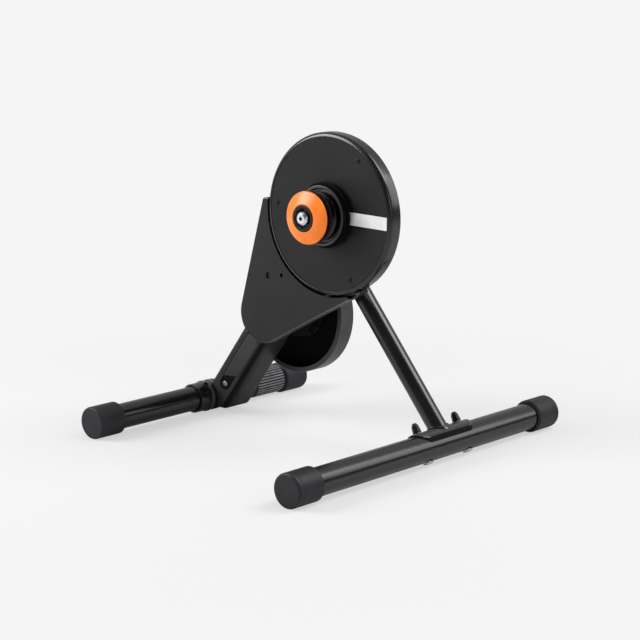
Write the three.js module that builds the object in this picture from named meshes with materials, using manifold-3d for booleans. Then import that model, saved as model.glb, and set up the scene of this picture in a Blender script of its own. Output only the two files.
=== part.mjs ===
// Direct drive bike trainer, in millimetres: +X towards the front of the bike, +Y to its left, +Z up.
// The floor is z = 0. The drive side, with the cog and the round housing, faces -Y.
import * as THREE from 'three';
import { mergeVertices } from 'three/addons/utils/BufferGeometryUtils.js';
import Module from 'manifold-3d';

const wasm = await Module();
wasm.setup();

// sizes shared by the whole trainer
const gap = 0.3;
const overrun = 2;
const axleHeight = 340;
const dropoutSpacing = 130;
const shaftBehindAxle = 142;
const shaftBelowAxle = 170;

// bars and feet
const capRadius = 24.4;
const capLength = 50;
const capEndWall = 6;
const capBevel = 2.6;
const rearBarBehind = 275;
const rearBarHalfLength = 225;
const rearTubeRadius = 19;
const frontBarAhead = 181;
const frontBarHalfLength = 290;
const frontTubeRadius = 20;
const tubeWall = 2;

// sleeve that holds the two rear legs
const sleeveWall = 3.4;
const sleeveRight = 16.5;
const sleeveLeft = 96;
const sleeveRingWidth = 11;
const sleeveRingHeight = 1.3;
const sleeveRingFromBeam = 4;
const legSplitLeft = 38;
const collarScrewHeadRadius = 4.6;
const collarScrewHeadHeight = 8.4;
const collarScrewShank = 2.6;
const collarScrewFromEnd = 11.5;
const collarScrewAngle = 0.89;
const gripThickness = 1.6;
const gripRibHeight = 1.1;
const gripFromSleeve = 2;

// drum housing round the axle
const drumRadius = 118.5;
const drumFront = 7.4;
const drumBack = 11.8;
const drumWall = 2.5;
const drumBevelWidth = 6.2;
const drumBevelDepth = 3.6;
const faceInset = 0.5;
const faceThickness = 1.9;
const faceHoleRadius = 30;
const ledgeWidth = 24;
const ledgeThickness = 1.4;
const faceScrewFromRim = 12.3;
const faceScrewHeadRadius = 3;
const faceScrewHeadHeight = 1.5;
const faceScrewShank = 1.4;
const faceScrewAngle = 3.054;
const labelHeight = 18.6;
const labelThickness = 0.5;
const labelFromRim = 1.1;
const labelFromNeck = 15.3;
const labelCentreDrop = 2.4;
const labelTilt = 0.023;

// belt drive
const beltRoom = 9;
const smallPulleyRadius = 14;
const beltThickness = 4;
const beltFront = 2.2;
const beltBack = 8.3;
const pulleyOverBelt = 0.5;
const pulleyRimThickness = 6;
const pulleyWebThickness = 2.6;
const pulleyHubRadius = 24;
const bearingOuter = 17;

// cover over the belt
const coverFront = 5;
const coverBack = 12;
const coverSkin = 1.9;
const coverCornerRadius = 44;
const coverCornerAside = 6.9;
const coverCornerRise = 5.3;
const coverLeftPastDrum = 11;
const coverLowerPastDrum = 5.8;
const coverDrumGap = 3;
const coverTopRadius = 5;
const coverTopRise = 13.1;
const coverTipAhead = 58;
const pocketInsideDrum = 1.2;
const pocketStartAngle = -1.3246;
const pocketBottomPastDrum = 8.4;
const pocketBottomAngle = -1.245;
const pocketTipPastDrum = 5.5;
const pocketTipAngle = -1.12;
const coverBossRadius = 4;
const coverBossFromWall = 10;
const coverScrewShank = 1.3;
const coverScrewHead = 2.6;
const coverScrewHeadHeight = 1.6;
const coverScrewDepth = 7;
const topBossBeforeDrum = 52.2;
const lowBossRise = 26;
const plateThickness = 3.4;
const plateInset = 1;

// belt tensioner
const idlerRadius = 16;
const idlerPastDrum = 40.4;
const pivotPastDrum = 19.2;
const pivotAngle = -2.3259;
const rollerHoleRadius = 5;
const pivotHoleRadius = 3;
const idlerArmRadius = 8;
const idlerArmThickness = 2.3;
const idlerThreadRadius = 2.6;
const pivotHeadRadius = 5;
const pivotHeadHeight = 3;

// shaft, flywheel and brake
const shaftRadius = 6;
const housingRadius = 19;
const housingWall = 3;
const shaftBearingWidth = 10;
const shaftBearingInset = 2.5;
const flywheelRadius = 96.8;
const flywheelRim = 7.8;
const flywheelDepth = 28.6;
const flywheelWeb = 8.6;
const flywheelHub = 14;
const flywheelGap = 2;
const shaftNutHeight = 6;
const shaftNutRadius = 9.5;
const shaftEndWidth = 3;
const magnetOuter = 44;
const magnetInner = 18;
const magnetThickness = 3;
const carrierOuter = 41;
const carrierInner = 16;
const carrierThickness = 3;
const coilRadius = 8.5;
const coilRingRadius = 29.5;
const coilLength = 14;
const coilCore = 3;

// beam from the shaft down to the rear bar
const beamHalfWidth = 23.5;
const beamRise = 2.8;
const beamDepth = 56;
const beamWall = 3;
const beamAboveShaft = 60;
const beamFootHeight = 7.5;
const beamHeelRadius = 16;
const beamToeRadius = 7;
const beamPastBar = 20;
const armStartHalf = 20;
const armEndHalf = 20;
const armDepth = 38;
const armWall = 3;
const bossRadius = 26;
const bossLength = 38;
const panelTopBelow = 50;
const panelRearAboveBar = 50.7;
const panelFrontAboveBar = 72.2;
const panelRearHalf = 11.5;
const panelFrontHalf = 15;
const panelRecess = 1.4;
const recessLobeRadius = 10.5;
const panelCornerRadius = 2.4;
const panelScrewAboveBar = 43.2;
const panelScrewHead = 4.4;
const panelScrewHeadHeight = 2;
const panelScrewShank = 2;
const jackAboveBar = 46.2;
const jackRadius = 5.5;
const jackFlangeRadius = 7.5;
const jackFlangeThickness = 1.8;
const jackBore = 3.1;
const jackLength = 14;

// axle and what turns on it
const axleRadius = 8.5;
const axleBore = 2.7;
const axleEndLength = 6.7;
const axleEndRadius = 10;
const runClearance = 0.35;
const axleNutRadius = 15;
const axleNutHeight = 3.4;
const flangeRadius = 48;
const flangeThickness = 3.2;
const flangeFront = 15.5;
const hubNeckRadius = 25.5;
const cupRadius = 45;
const cupStepRadius = 40;
const cupFront = 24;
const cupStep = 3;
const cupRim = 3.4;
const cupFloor = 4;
const collarRadius = 36;
const collarFront = 33;
const freehubRadius = 17.4;
const splineHeight = 1.3;
const guardRadius = 38.3;
const guardFront = 53;
const guardThickness = 2.4;
const guardCrownWidth = 1.4;
const guardCrownDrop = 0.4;
const innerGuardFront = 42.6;
const innerGuardThickness = 2.4;
const cogRadius = 27.4;
const cogToothHeight = 4.2;
const cogThickness = 2.2;
const lockRingRadius = 19.4;
const lockRingFront = 60.7;
const lockRingBore = 13;

// strut and the saddle at its foot
const strutRadius = 14;
const strutPlane = 38;
const strutAheadOfBar = 6.3;
const strutAimDistance = 53.3;
const saddleAngle = 2.06;
const saddleHalfAngle = 1.04;
const saddleHalfLength = 60;
const saddleThickness = 3;
const saddleCorner = 15;
const footBoltSpacing = 90;
const footBoltRadius = 4;
const footBoltHeadRadius = 8;
const footBoltHeadHeight = 2.6;
const footNutRadius = 6.3;
const footNutTopRadius = 4.9;
const footNutHeight = 15;
const footNutShoulderShare = 0.72;
const weldWidth = 3;
const weldHeight = 3.4;

// counts
const drumSides = 48;
const wheelSides = 32;
const tubeSides = 24;
const smallSides = 12;
const tinySides = 8;
const cogTeeth = 14;
const splineCount = 9;
const ribCount = 30;
const coilCount = 6;
const faceScrewCount = 3;
const cornerSteps = 4;
const lockNotchCount = 8;

// looks
const paint = { color: 0x17181a, roughness: 0.32, metalness: 0.1 };
const satinPaint = { color: 0x2b2c2e, roughness: 0.55, metalness: 0.1 };
const plastic = { color: 0x303133, roughness: 0.6, metalness: 0 };
const rubber = { color: 0x2a2a2e, roughness: 0.8, metalness: 0 };
const steel = { color: 0xb4b6b8, roughness: 0.3, metalness: 1 };
const darkSteel = { color: 0x3a3b3d, roughness: 0.45, metalness: 0.9 };
const castIron = { color: 0x3c3d40, roughness: 0.5, metalness: 0.8 };
const orange = { color: 0xff8a30, roughness: 0.4, metalness: 0 };
const white = { color: 0xe6e6e6, roughness: 0.6, metalness: 0 };
const copper = { color: 0x8a5130, roughness: 0.45, metalness: 0.9 };

// shape helpers
function mesh(name, shape, look) {
  const geometry = shape.isBufferGeometry ? shape : fromSolid(shape);
  const made = new THREE.Mesh(geometry, new THREE.MeshStandardMaterial(look));
  made.name = name;
  return made;
}

function signedVolume(geometry) {
  const place = geometry.attributes.position;
  const corners = geometry.index.array;
  const a = new THREE.Vector3();
  const b = new THREE.Vector3();
  const c = new THREE.Vector3();
  let total = 0;
  for (let i = 0; i < corners.length; i += 3) {
    a.fromBufferAttribute(place, corners[i]);
    b.fromBufferAttribute(place, corners[i + 1]);
    c.fromBufferAttribute(place, corners[i + 2]);
    total += a.dot(b.cross(c));
  }
  return total;
}

function solid(geometry) {
  const bare = geometry.clone();
  bare.deleteAttribute('normal');
  bare.deleteAttribute('uv');
  const merged = mergeVertices(bare);
  const corners = Array.from(merged.index.array);
  const faces = [];
  const inward = signedVolume(merged) < 0;
  for (let i = 0; i < corners.length; i += 3) {
    const [a, b, c] = corners.slice(i, i + 3);
    if (a === b || b === c || c === a) {
      continue;
    }
    faces.push(a, inward ? c : b, inward ? b : c);
  }
  const vertProperties = Float32Array.from(merged.attributes.position.array);
  const triVerts = Uint32Array.from(faces);
  return new wasm.Manifold(new wasm.Mesh({ numProp: 3, vertProperties, triVerts }));
}

function fromSolid(body) {
  const data = body.getMesh();
  const geometry = new THREE.BufferGeometry();
  const places = Float32Array.from(data.vertProperties);
  geometry.setAttribute('position', new THREE.BufferAttribute(places, 3));
  geometry.setIndex(Array.from(data.triVerts));
  geometry.computeVertexNormals();
  return geometry;
}

function joined(bodies) {
  return bodies.reduce((whole, body) => whole.add(body));
}

// a round solid about Y from y0 to y1, its centre at x, z
function rod(radius, y0, y1, x = 0, z = 0, sides = tubeSides) {
  const shape = new THREE.CylinderGeometry(radius, radius, y1 - y0, sides);
  shape.translate(x, (y0 + y1) / 2, z);
  return solid(shape);
}

// a profile of [radius, y] corners turned about Y
function turned(profile, sides) {
  const points = profile.map(([r, y]) => new THREE.Vector2(r, y));
  points.push(points[0].clone());
  return solid(new THREE.LatheGeometry(points, sides));
}

function ring(outer, inner, y0, y1, sides = tubeSides) {
  return turned([[inner, y0], [outer, y0], [outer, y1], [inner, y1]], sides);
}

// an outline of [x, z] corners, thick from y0 to y1
function slab(outline, y0, y1) {
  const shape = new THREE.Shape(outline.map(([x, z]) => new THREE.Vector2(x, z)));
  const body = new THREE.ExtrudeGeometry(shape, { depth: y1 - y0, bevelEnabled: false });
  body.rotateX(Math.PI / 2);
  body.translate(0, y1, 0);
  return solid(body);
}

function block(x0, x1, y0, y1, z0, z1) {
  const shape = new THREE.BoxGeometry(x1 - x0, y1 - y0, z1 - z0);
  shape.translate((x0 + x1) / 2, (y0 + y1) / 2, (z0 + z1) / 2);
  return solid(shape);
}

function polar(radius, angle) {
  return [radius * Math.cos(angle), radius * Math.sin(angle)];
}

function arc(centreX, centreZ, radius, from, to, steps) {
  const points = [];
  for (let i = 0; i <= steps; i += 1) {
    const [x, z] = polar(radius, from + ((to - from) * i) / steps);
    points.push([centreX + x, centreZ + z]);
  }
  return points;
}

// rounds each corner of an outline by its own radius
function rounded(corners, radii, steps = cornerSteps) {
  const outline = [];
  corners.forEach(([x, z], i) => {
    const here = new THREE.Vector2(x, z);
    const before = new THREE.Vector2(...corners[(i + corners.length - 1) % corners.length]);
    const after = new THREE.Vector2(...corners[(i + 1) % corners.length]);
    const radius = radii[i];
    if (radius === 0) {
      outline.push([x, z]);
      return;
    }
    const back = before.sub(here).normalize();
    const ahead = after.sub(here).normalize();
    const half = Math.acos(back.dot(ahead)) / 2;
    const middle = back.clone().add(ahead).normalize();
    const centre = here.clone().addScaledVector(middle, radius / Math.sin(half));
    const start = here.clone().addScaledVector(back, radius / Math.tan(half)).sub(centre);
    const end = here.clone().addScaledVector(ahead, radius / Math.tan(half)).sub(centre);
    const from = Math.atan2(start.y, start.x);
    let turn = Math.atan2(end.y, end.x) - from;
    turn -= Math.round(turn / (2 * Math.PI)) * 2 * Math.PI;
    outline.push(...arc(centre.x, centre.y, radius, from, from + turn, steps));
  });
  return outline;
}

// moves every edge of an outline inwards (the outline runs anticlockwise)
function inset(outline, distance) {
  return outline.map((point, i) => {
    const here = new THREE.Vector2(...point);
    const before = new THREE.Vector2(...outline[(i + outline.length - 1) % outline.length]);
    const after = new THREE.Vector2(...outline[(i + 1) % outline.length]);
    const first = here.clone().sub(before).normalize();
    const second = after.clone().sub(here).normalize();
    const firstIn = new THREE.Vector2(-first.y, first.x);
    const secondIn = new THREE.Vector2(-second.y, second.x);
    const middle = firstIn.clone().add(secondIn).normalize();
    here.addScaledVector(middle, distance / middle.dot(firstIn));
    return [here.x, here.y];
  });
}

function place(body, x, y, z) {
  body.position.set(x, y, z);
  return body;
}

function group(children) {
  const made = new THREE.Group();
  children.forEach((child) => made.add(child));
  return made;
}

// places worked out from the sizes
const shaftX = -shaftBehindAxle;
const shaftZ = -shaftBelowAxle;
const shaftHeight = axleHeight - shaftBelowAxle;
const halfSpacing = dropoutSpacing / 2;
const plateFront = coverBack + gap;
const plateBack = plateFront + plateThickness;
const beamNear = plateBack + gap;
const beamFar = beamNear + beamDepth;
const faceRadius = drumRadius - drumBevelWidth;
const faceScrewRadius = faceRadius - faceScrewFromRim;
const labelLength = faceRadius - labelFromRim - labelFromNeck - hubNeckRadius;
const labelCentreAhead = faceRadius - labelFromRim - labelLength / 2;
const pulleyRadius = drumRadius - drumWall - beltRoom - beltThickness;
const faceFront = -drumFront + faceInset;
const faceBack = faceFront + faceThickness;
const ledgeFront = faceBack + gap;
const ledgeBack = ledgeFront + ledgeThickness;
const axleEnd = halfSpacing - axleEndLength - gap;
const sleeveRadius = rearTubeRadius + gap + sleeveWall;
const shaftSpan = Math.hypot(shaftBehindAxle, shaftBelowAxle);
const shaftDirection = Math.atan2(-shaftBelowAxle, -shaftBehindAxle);

// the beam's own direction, which passes the rear bar's axis at a named distance
const barBehindShaft = rearBarBehind - shaftBehindAxle;
const barBelowShaft = shaftHeight - capRadius;
const barSpan = Math.hypot(barBehindShaft, barBelowShaft);
const beamTilt = Math.atan2(barBelowShaft, barBehindShaft) + Math.asin(beamPastBar / barSpan);

// a loop round the pulley at the axle and the one on the shaft, as [x, z] from the axle
function loopOutline(bigRadius, smallRadius, bigSteps, smallSteps) {
  const lean = Math.acos((bigRadius - smallRadius) / shaftSpan);
  const big = arc(0, 0, bigRadius, shaftDirection + lean, shaftDirection + 2 * Math.PI - lean, bigSteps);
  const small = arc(shaftX, shaftZ, smallRadius, shaftDirection - lean, shaftDirection + lean, smallSteps);
  return [...big, ...small];
}

// drum housing
function drumShell() {
  const body = turned([
    [faceRadius, -drumFront],
    [drumRadius, -drumFront + drumBevelDepth],
    [drumRadius, drumBack],
    [drumRadius - drumWall, drumBack],
    [drumRadius - drumWall, ledgeBack],
    [faceRadius - ledgeWidth, ledgeBack],
    [faceRadius - ledgeWidth, ledgeFront],
    [faceRadius, ledgeFront],
  ], drumSides);
  const room = coverDrumGap + drumWall;
  const big = pulleyRadius + beltThickness + room;
  const beltWay = loopOutline(big, smallPulleyRadius + beltThickness + room, wheelSides, tinySides);
  return body.subtract(slab(beltWay, ledgeBack, drumBack + overrun)).subtract(faceScrewCut());
}

function faceScrewPlaces() {
  const step = (2 * Math.PI) / faceScrewCount;
  const angles = Array.from({ length: faceScrewCount }, (_, i) => faceScrewAngle + i * step);
  return angles.map((angle) => polar(faceScrewRadius, angle));
}

function faceScrewCut() {
  const holes = faceScrewPlaces().map(([x, z]) => (
    rod(faceScrewShank + gap, -drumFront - overrun, ledgeBack + overrun, x, z, tinySides)
  ));
  return joined(holes);
}

function drumFace() {
  return ring(faceRadius - gap, faceHoleRadius, faceFront, faceBack, drumSides).subtract(faceScrewCut());
}

function drumScrew([x, z]) {
  const headBack = faceFront - gap;
  const head = rod(faceScrewHeadRadius, headBack - faceScrewHeadHeight, headBack, x, z, tinySides);
  return head.add(rod(faceScrewShank, headBack - faceScrewHeadHeight / 2, ledgeBack, x, z, tinySides));
}

function labelStrip() {
  const front = faceFront - gap - labelThickness;
  const halfLength = labelLength / 2;
  const halfHeight = labelHeight / 2;
  const strip = block(-halfLength, halfLength, 0, labelThickness, -halfHeight, halfHeight);
  const made = place(mesh('label_strip', strip, white), labelCentreAhead, front, -labelCentreDrop);
  made.rotation.y = labelTilt;
  return made;
}

// cover over the belt
const cornerX = shaftX + coverCornerAside;
const cornerZ = shaftZ + coverCornerRise;
const cornerSpan = Math.hypot(cornerX, cornerZ);
const cornerDirection = Math.atan2(-cornerZ, -cornerX);

// the cover's two straight edges leave its round corner and pass the drum at their own distances
const leftReach = drumRadius + coverLeftPastDrum;
const lowerReach = drumRadius + coverLowerPastDrum;
const coverLeftAngle = cornerDirection + Math.asin((leftReach - coverCornerRadius) / cornerSpan);
const coverLowerAngle = cornerDirection - Math.asin((lowerReach - coverCornerRadius) / cornerSpan);
const coverTopX = (coverTopRise * Math.cos(coverLeftAngle) - leftReach) / Math.sin(coverLeftAngle);

// the sharp corner where the cover's left and lower edges would meet
function coverCorner() {
  const half = (coverLeftAngle - coverLowerAngle) / 2;
  const [x, z] = polar(coverCornerRadius / Math.sin(half), coverLowerAngle + half);
  return [cornerX - x, cornerZ - z];
}

function coverOutline(shrink) {
  const [startX, startZ] = coverCorner();
  const innerShare = 0.8;
  const tipZ = startZ + (coverTipAhead - startX) * Math.tan(coverLowerAngle);
  const topX = coverTopX;
  const topZ = coverTopRise;
  const corners = [
    [startX, startZ],
    [coverTipAhead, tipZ],
    [coverTipAhead * innerShare, tipZ * innerShare],
    [topX * innerShare, topZ],
    [topX, topZ],
  ];
  return inset(rounded(corners, [coverCornerRadius, 0, 0, 0, coverTopRadius]), shrink);
}

// the two screw places in from the cover's straight edges
function coverBosses() {
  const inside = coverCornerRadius - coverBossFromWall;
  const [leftX, leftZ] = polar(1, coverLeftAngle);
  const [lowX, lowZ] = polar(1, coverLowerAngle);
  const topBossRise = Math.sqrt(cornerSpan ** 2 - (leftReach - coverCornerRadius) ** 2) - topBossBeforeDrum;
  return [
    [cornerX - leftZ * inside + leftX * topBossRise, cornerZ + leftX * inside + leftZ * topBossRise],
    [cornerX + lowZ * inside + lowX * lowBossRise, cornerZ - lowX * inside + lowZ * lowBossRise],
  ];
}

function beltCover() {
  const before = -coverFront - overrun;
  const after = coverBack + overrun;
  const drumWay = rod(drumRadius + coverDrumGap, before, after, 0, 0, drumSides);
  const hollow = slab(coverOutline(coverSkin), -coverFront + coverSkin, after);
  const pocket = slab([
    polar(drumRadius - pocketInsideDrum, pocketStartAngle),
    polar(drumRadius + pocketBottomPastDrum, pocketBottomAngle),
    polar(drumRadius + pocketTipPastDrum, pocketTipAngle),
  ], before, coverSkin);
  const [idlerX, idlerZ] = idlerPlace();
  const [pivotX, pivotZ] = pivotPlace();
  const rollerHole = rod(rollerHoleRadius + gap, before, 0, idlerX, idlerZ, smallSides);
  const pivotHole = rod(pivotHoleRadius, before, 0, pivotX, pivotZ, tinySides);
  let body = slab(coverOutline(0), -coverFront, coverBack).subtract(hollow);
  coverBosses().forEach(([x, z]) => {
    body = body.add(rod(coverBossRadius, -coverFront + coverSkin / 2, coverBack, x, z, tinySides));
  });
  body = body.subtract(drumWay).subtract(pocket).subtract(rollerHole).subtract(pivotHole);
  const depth = coverBack - coverScrewDepth - gap;
  coverBosses().forEach(([x, z]) => {
    body = body.subtract(rod(coverScrewShank + gap, depth, after, x, z, tinySides));
  });
  return body;
}

function coverScrew([x, z]) {
  const headFront = plateBack + gap;
  const headMiddle = headFront + coverScrewHeadHeight / 2;
  const head = rod(coverScrewHead, headFront, headFront + coverScrewHeadHeight, x, z, tinySides);
  return head.add(rod(coverScrewShank, coverBack - coverScrewDepth, headMiddle, x, z, tinySides));
}

function mainPlate() {
  const disc = rod(drumRadius - plateInset, plateFront, plateBack, 0, 0, drumSides);
  let body = disc.add(slab(coverOutline(plateInset), plateFront, plateBack));
  const [pivotX, pivotZ] = pivotPlace();
  const before = plateFront - overrun;
  const after = plateBack + overrun;
  const cuts = [
    rod(axleRadius + gap, before, after, 0, 0, tubeSides),
    rod(shaftRadius + overrun, before, after, shaftX, shaftZ, tubeSides),
    rod(idlerThreadRadius + gap, before, after, pivotX, pivotZ, tinySides),
  ];
  coverBosses().forEach(([x, z]) => {
    cuts.push(rod(coverScrewShank + gap, before, after, x, z, tinySides));
  });
  cuts.forEach((cut) => {
    body = body.subtract(cut);
  });
  return body;
}

// belt, pulleys and tensioner
function driveBelt() {
  const inner = loopOutline(pulleyRadius + gap, smallPulleyRadius + gap, wheelSides, tinySides);
  const outerBig = pulleyRadius + gap + beltThickness;
  const outer = loopOutline(outerBig, smallPulleyRadius + gap + beltThickness, wheelSides, tinySides);
  return slab(outer, -beltFront, beltBack).subtract(slab(inner, -beltFront - overrun, beltBack + overrun));
}

const pulleyFront = -beltFront - pulleyOverBelt;
const pulleyBack = beltBack + pulleyOverBelt;
const webFront = (pulleyFront + pulleyBack - pulleyWebThickness) / 2;
const webBack = webFront + pulleyWebThickness;
const rimInner = pulleyRadius - pulleyRimThickness;
const neckFront = -flangeFront + flangeThickness;

function drivePulley() {
  return turned([
    [bearingOuter + gap, pulleyFront],
    [pulleyHubRadius, pulleyFront],
    [pulleyHubRadius, webFront],
    [rimInner, webFront],
    [rimInner, pulleyFront],
    [pulleyRadius, pulleyFront],
    [pulleyRadius, pulleyBack],
    [rimInner, pulleyBack],
    [rimInner, webBack],
    [pulleyHubRadius, webBack],
    [pulleyHubRadius, pulleyBack],
    [bearingOuter + gap, pulleyBack],
  ], wheelSides);
}

function hubBearing() {
  return ring(bearingOuter, axleRadius + runClearance, pulleyFront, pulleyBack, smallSides);
}

function hubFlange() {
  return turned([
    [axleRadius + runClearance, -flangeFront],
    [flangeRadius, -flangeFront],
    [flangeRadius, neckFront],
    [hubNeckRadius, neckFront],
    [hubNeckRadius, pulleyFront - gap],
    [axleRadius + runClearance, pulleyFront - gap],
  ], wheelSides);
}

function hubCup() {
  const back = -flangeFront - gap;
  const floor = back - cupFloor;
  return turned([
    [axleRadius + runClearance, floor],
    [cupRadius - cupRim - cupStep, floor],
    [cupStepRadius, -cupFront],
    [cupRadius - cupStep / 2, -cupFront],
    [cupRadius, -cupFront + cupStep],
    [cupRadius, back],
    [axleRadius + runClearance, back],
  ], wheelSides);
}

function freehub() {
  const back = -flangeFront - gap - cupFloor - gap;
  const outline = [];
  const step = (2 * Math.PI) / splineCount;
  const ribShares = [[0, 0], [0.5, 0], [0.56, 1], [0.94, 1]];
  for (let i = 0; i < splineCount; i += 1) {
    ribShares.forEach(([share, height]) => {
      outline.push(polar(freehubRadius - splineHeight * (1 - height), (i + share) * step));
    });
  }
  const collar = ring(collarRadius, axleRadius + runClearance, -collarFront, back, wheelSides);
  const barrel = slab(outline, -guardFront, back);
  return barrel.subtract(rod(axleRadius + runClearance, -guardFront - overrun, back + overrun)).add(collar);
}

function innerGuard() {
  const front = -innerGuardFront;
  return ring(guardRadius, freehubRadius + gap, front, front + innerGuardThickness, wheelSides);
}

// the outer disc rises as a cone round the lock ring, almost to its front
function outerGuard() {
  const bore = freehubRadius + gap;
  const clear = lockRingRadius + gap;
  const crown = guardCrownDrop - lockRingFront;
  return turned([
    [bore, -guardFront],
    [clear, -guardFront],
    [clear, crown],
    [clear + guardCrownWidth, crown],
    [guardRadius, -guardFront],
    [guardRadius, -guardFront + guardThickness],
    [bore, -guardFront + guardThickness],
  ], wheelSides);
}

function driveCog() {
  const middle = -(guardFront - guardThickness + innerGuardFront) / 2;
  const step = (2 * Math.PI) / cogTeeth;
  const toothShares = [[0.1, 0], [0.4, 0.9], [0.5, 1], [0.6, 0.9], [0.9, 0], [1, -0.06]];
  const outline = [];
  for (let i = 0; i < cogTeeth; i += 1) {
    toothShares.forEach(([share, height]) => {
      outline.push(polar(cogRadius + cogToothHeight * height, (i + share) * step));
    });
  }
  const half = cogThickness / 2;
  return slab(outline, middle - half, middle + half)
    .subtract(rod(freehubRadius + gap, middle - cogThickness, middle + cogThickness));
}

function lockRing() {
  const back = -guardFront - gap;
  let body = ring(lockRingRadius, lockRingBore, -lockRingFront, back, tubeSides);
  const step = (2 * Math.PI) / lockNotchCount;
  const notch = lockRingBore * step * 0.5;
  const depth = (lockRingRadius - lockRingBore) / 3;
  for (let i = 0; i < lockNotchCount; i += 1) {
    const [x, z] = polar(lockRingBore, i * step);
    const cut = new THREE.BoxGeometry(2 * depth, lockRingFront - guardFront, notch);
    cut.rotateY(-i * step);
    cut.translate(x, -lockRingFront, z);
    body = body.subtract(solid(cut));
  }
  return body;
}

// the roller runs inside the belt's upper run, clear of the drum
function idlerPlace() {
  const lean = Math.acos((pulleyRadius - smallPulleyRadius) / shaftSpan);
  const [outX, outZ] = polar(1, shaftDirection - lean);
  const aside = pulleyRadius - idlerRadius;
  const back = Math.sqrt((drumRadius + idlerPastDrum) ** 2 - aside ** 2);
  return [outX * aside - outZ * back, outZ * aside + outX * back];
}

function pivotPlace() {
  return polar(drumRadius + pivotPastDrum, pivotAngle);
}

function idlerRoller() {
  return ring(idlerRadius, rollerHoleRadius + runClearance, -beltFront, beltBack, smallSides);
}

const armBack = plateFront - gap;
const armFront = armBack - idlerArmThickness;

function idlerRollerBolt() {
  const shoulder = rod(rollerHoleRadius, -beltFront - gap, armFront - gap, 0, 0, smallSides);
  return shoulder.add(rod(idlerThreadRadius, 0, armBack, 0, 0, tinySides));
}

function idlerArm() {
  const [idlerX, idlerZ] = idlerPlace();
  const [pivotX, pivotZ] = pivotPlace();
  const ahead = pivotX - idlerX;
  const rise = pivotZ - idlerZ;
  const direction = Math.atan2(rise, ahead);
  const half = Math.PI / 2;
  const bore = idlerThreadRadius + gap;
  const outline = [
    ...arc(ahead, rise, idlerArmRadius, direction - half, direction + half, cornerSteps),
    ...arc(0, 0, idlerArmRadius, direction + half, direction + half + Math.PI, cornerSteps),
  ];
  return slab(outline, armFront, armBack)
    .subtract(rod(bore, armFront - overrun, armBack + overrun, 0, 0, tinySides))
    .subtract(rod(bore, armFront - overrun, armBack + overrun, ahead, rise, tinySides));
}

function idlerPivotBolt() {
  const headBack = armFront - gap;
  const head = rod(pivotHeadRadius, headBack - pivotHeadHeight, headBack, 0, 0, smallSides);
  return head.add(rod(idlerThreadRadius, headBack - pivotHeadHeight / 2, plateBack, 0, 0, tinySides));
}

// axle
function axle() {
  return ring(axleRadius, axleBore, -axleEnd, axleEnd, tubeSides);
}

function axleEndCap() {
  const bevel = axleEndLength / 8;
  return turned([
    [axleBore, 0],
    [axleEndRadius - bevel, 0],
    [axleEndRadius, bevel],
    [axleEndRadius, axleEndLength],
    [axleBore, axleEndLength],
  ], tubeSides);
}

function axleNut() {
  const back = beamNear + bossLength + gap + axleNutHeight;
  return rod(axleNutRadius, beamNear + bossLength + gap, back, 0, 0, 6)
    .subtract(rod(axleRadius + gap, 0, back + overrun));
}

function axleBoss() {
  return ring(bossRadius, axleRadius + gap, beamNear, beamNear + bossLength, tubeSides);
}

// shaft, flywheel and brake, about the shaft
const flywheelFront = beamFar + flywheelGap;
const flywheelBack = flywheelFront + flywheelDepth;
const flywheelWebFront = flywheelBack - flywheelWeb;

function shaftHousing() {
  return ring(housingRadius, housingRadius - housingWall, beamNear, beamFar, tubeSides);
}

function shaftBearing(front) {
  const outer = housingRadius - housingWall - gap;
  return ring(outer, shaftRadius + runClearance, front, front + shaftBearingWidth, smallSides);
}

function flywheelShaft() {
  const end = flywheelBack + gap + shaftNutHeight + shaftEndWidth;
  return rod(shaftRadius, pulleyFront, end, 0, 0, smallSides);
}

function smallPulley() {
  return ring(smallPulleyRadius, shaftRadius + gap, pulleyFront, pulleyBack, smallSides);
}

function flywheel() {
  return turned([
    [shaftRadius + gap, flywheelFront + flywheelGap],
    [flywheelHub, flywheelFront + flywheelGap],
    [flywheelHub, flywheelWebFront],
    [flywheelRadius - flywheelRim, flywheelWebFront],
    [flywheelRadius - flywheelRim, flywheelFront],
    [flywheelRadius, flywheelFront],
    [flywheelRadius, flywheelBack],
    [shaftRadius + gap, flywheelBack],
  ], wheelSides);
}

function flywheelMagnets() {
  const back = flywheelWebFront - gap;
  return ring(magnetOuter, magnetInner, back - magnetThickness, back, wheelSides);
}

function shaftNut() {
  const front = flywheelBack + gap;
  const back = front + shaftNutHeight;
  return rod(shaftNutRadius, front, back, 0, 0, 6)
    .subtract(rod(shaftRadius + gap, front - overrun, back + overrun, 0, 0, smallSides));
}

// a ring on the back of the beam with a wound pole at each step round it
function brakeStator() {
  const front = beamFar + gap;
  const back = front + carrierThickness;
  const end = back + coilLength;
  const step = (2 * Math.PI) / coilCount;
  let body = ring(carrierOuter, carrierInner, front, back, tubeSides);
  for (let i = 0; i < coilCount; i += 1) {
    const [x, z] = polar(coilRingRadius, beamTilt + i * step);
    body = body.add(rod(coilRadius, back - carrierThickness / 2, end, x, z, smallSides));
    body = body.subtract(rod(coilCore, end - coilLength / 2, end + overrun, x, z, tinySides));
  }
  return body;
}

// beam: x runs up along it from the shaft, z to its rear side
const beamLow = beamRise - beamHalfWidth;
const beamHigh = beamRise + beamHalfWidth;

// a point of the side view, measured from the shaft, in the beam's own directions
function alongBeam(x, z) {
  const c = Math.cos(beamTilt);
  const s = Math.sin(beamTilt);
  return [x * c + z * s, z * c - x * s];
}

const [barAlong, barAcross] = alongBeam(-barBehindShaft, -barBelowShaft);
const [axleAlong, axleAcross] = alongBeam(shaftBehindAxle, shaftBelowAxle);

// where an edge of the beam comes down to the height of its foot
function footAlong(across) {
  return (beamFootHeight - shaftHeight - across * Math.cos(beamTilt)) / Math.sin(beamTilt);
}

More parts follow.
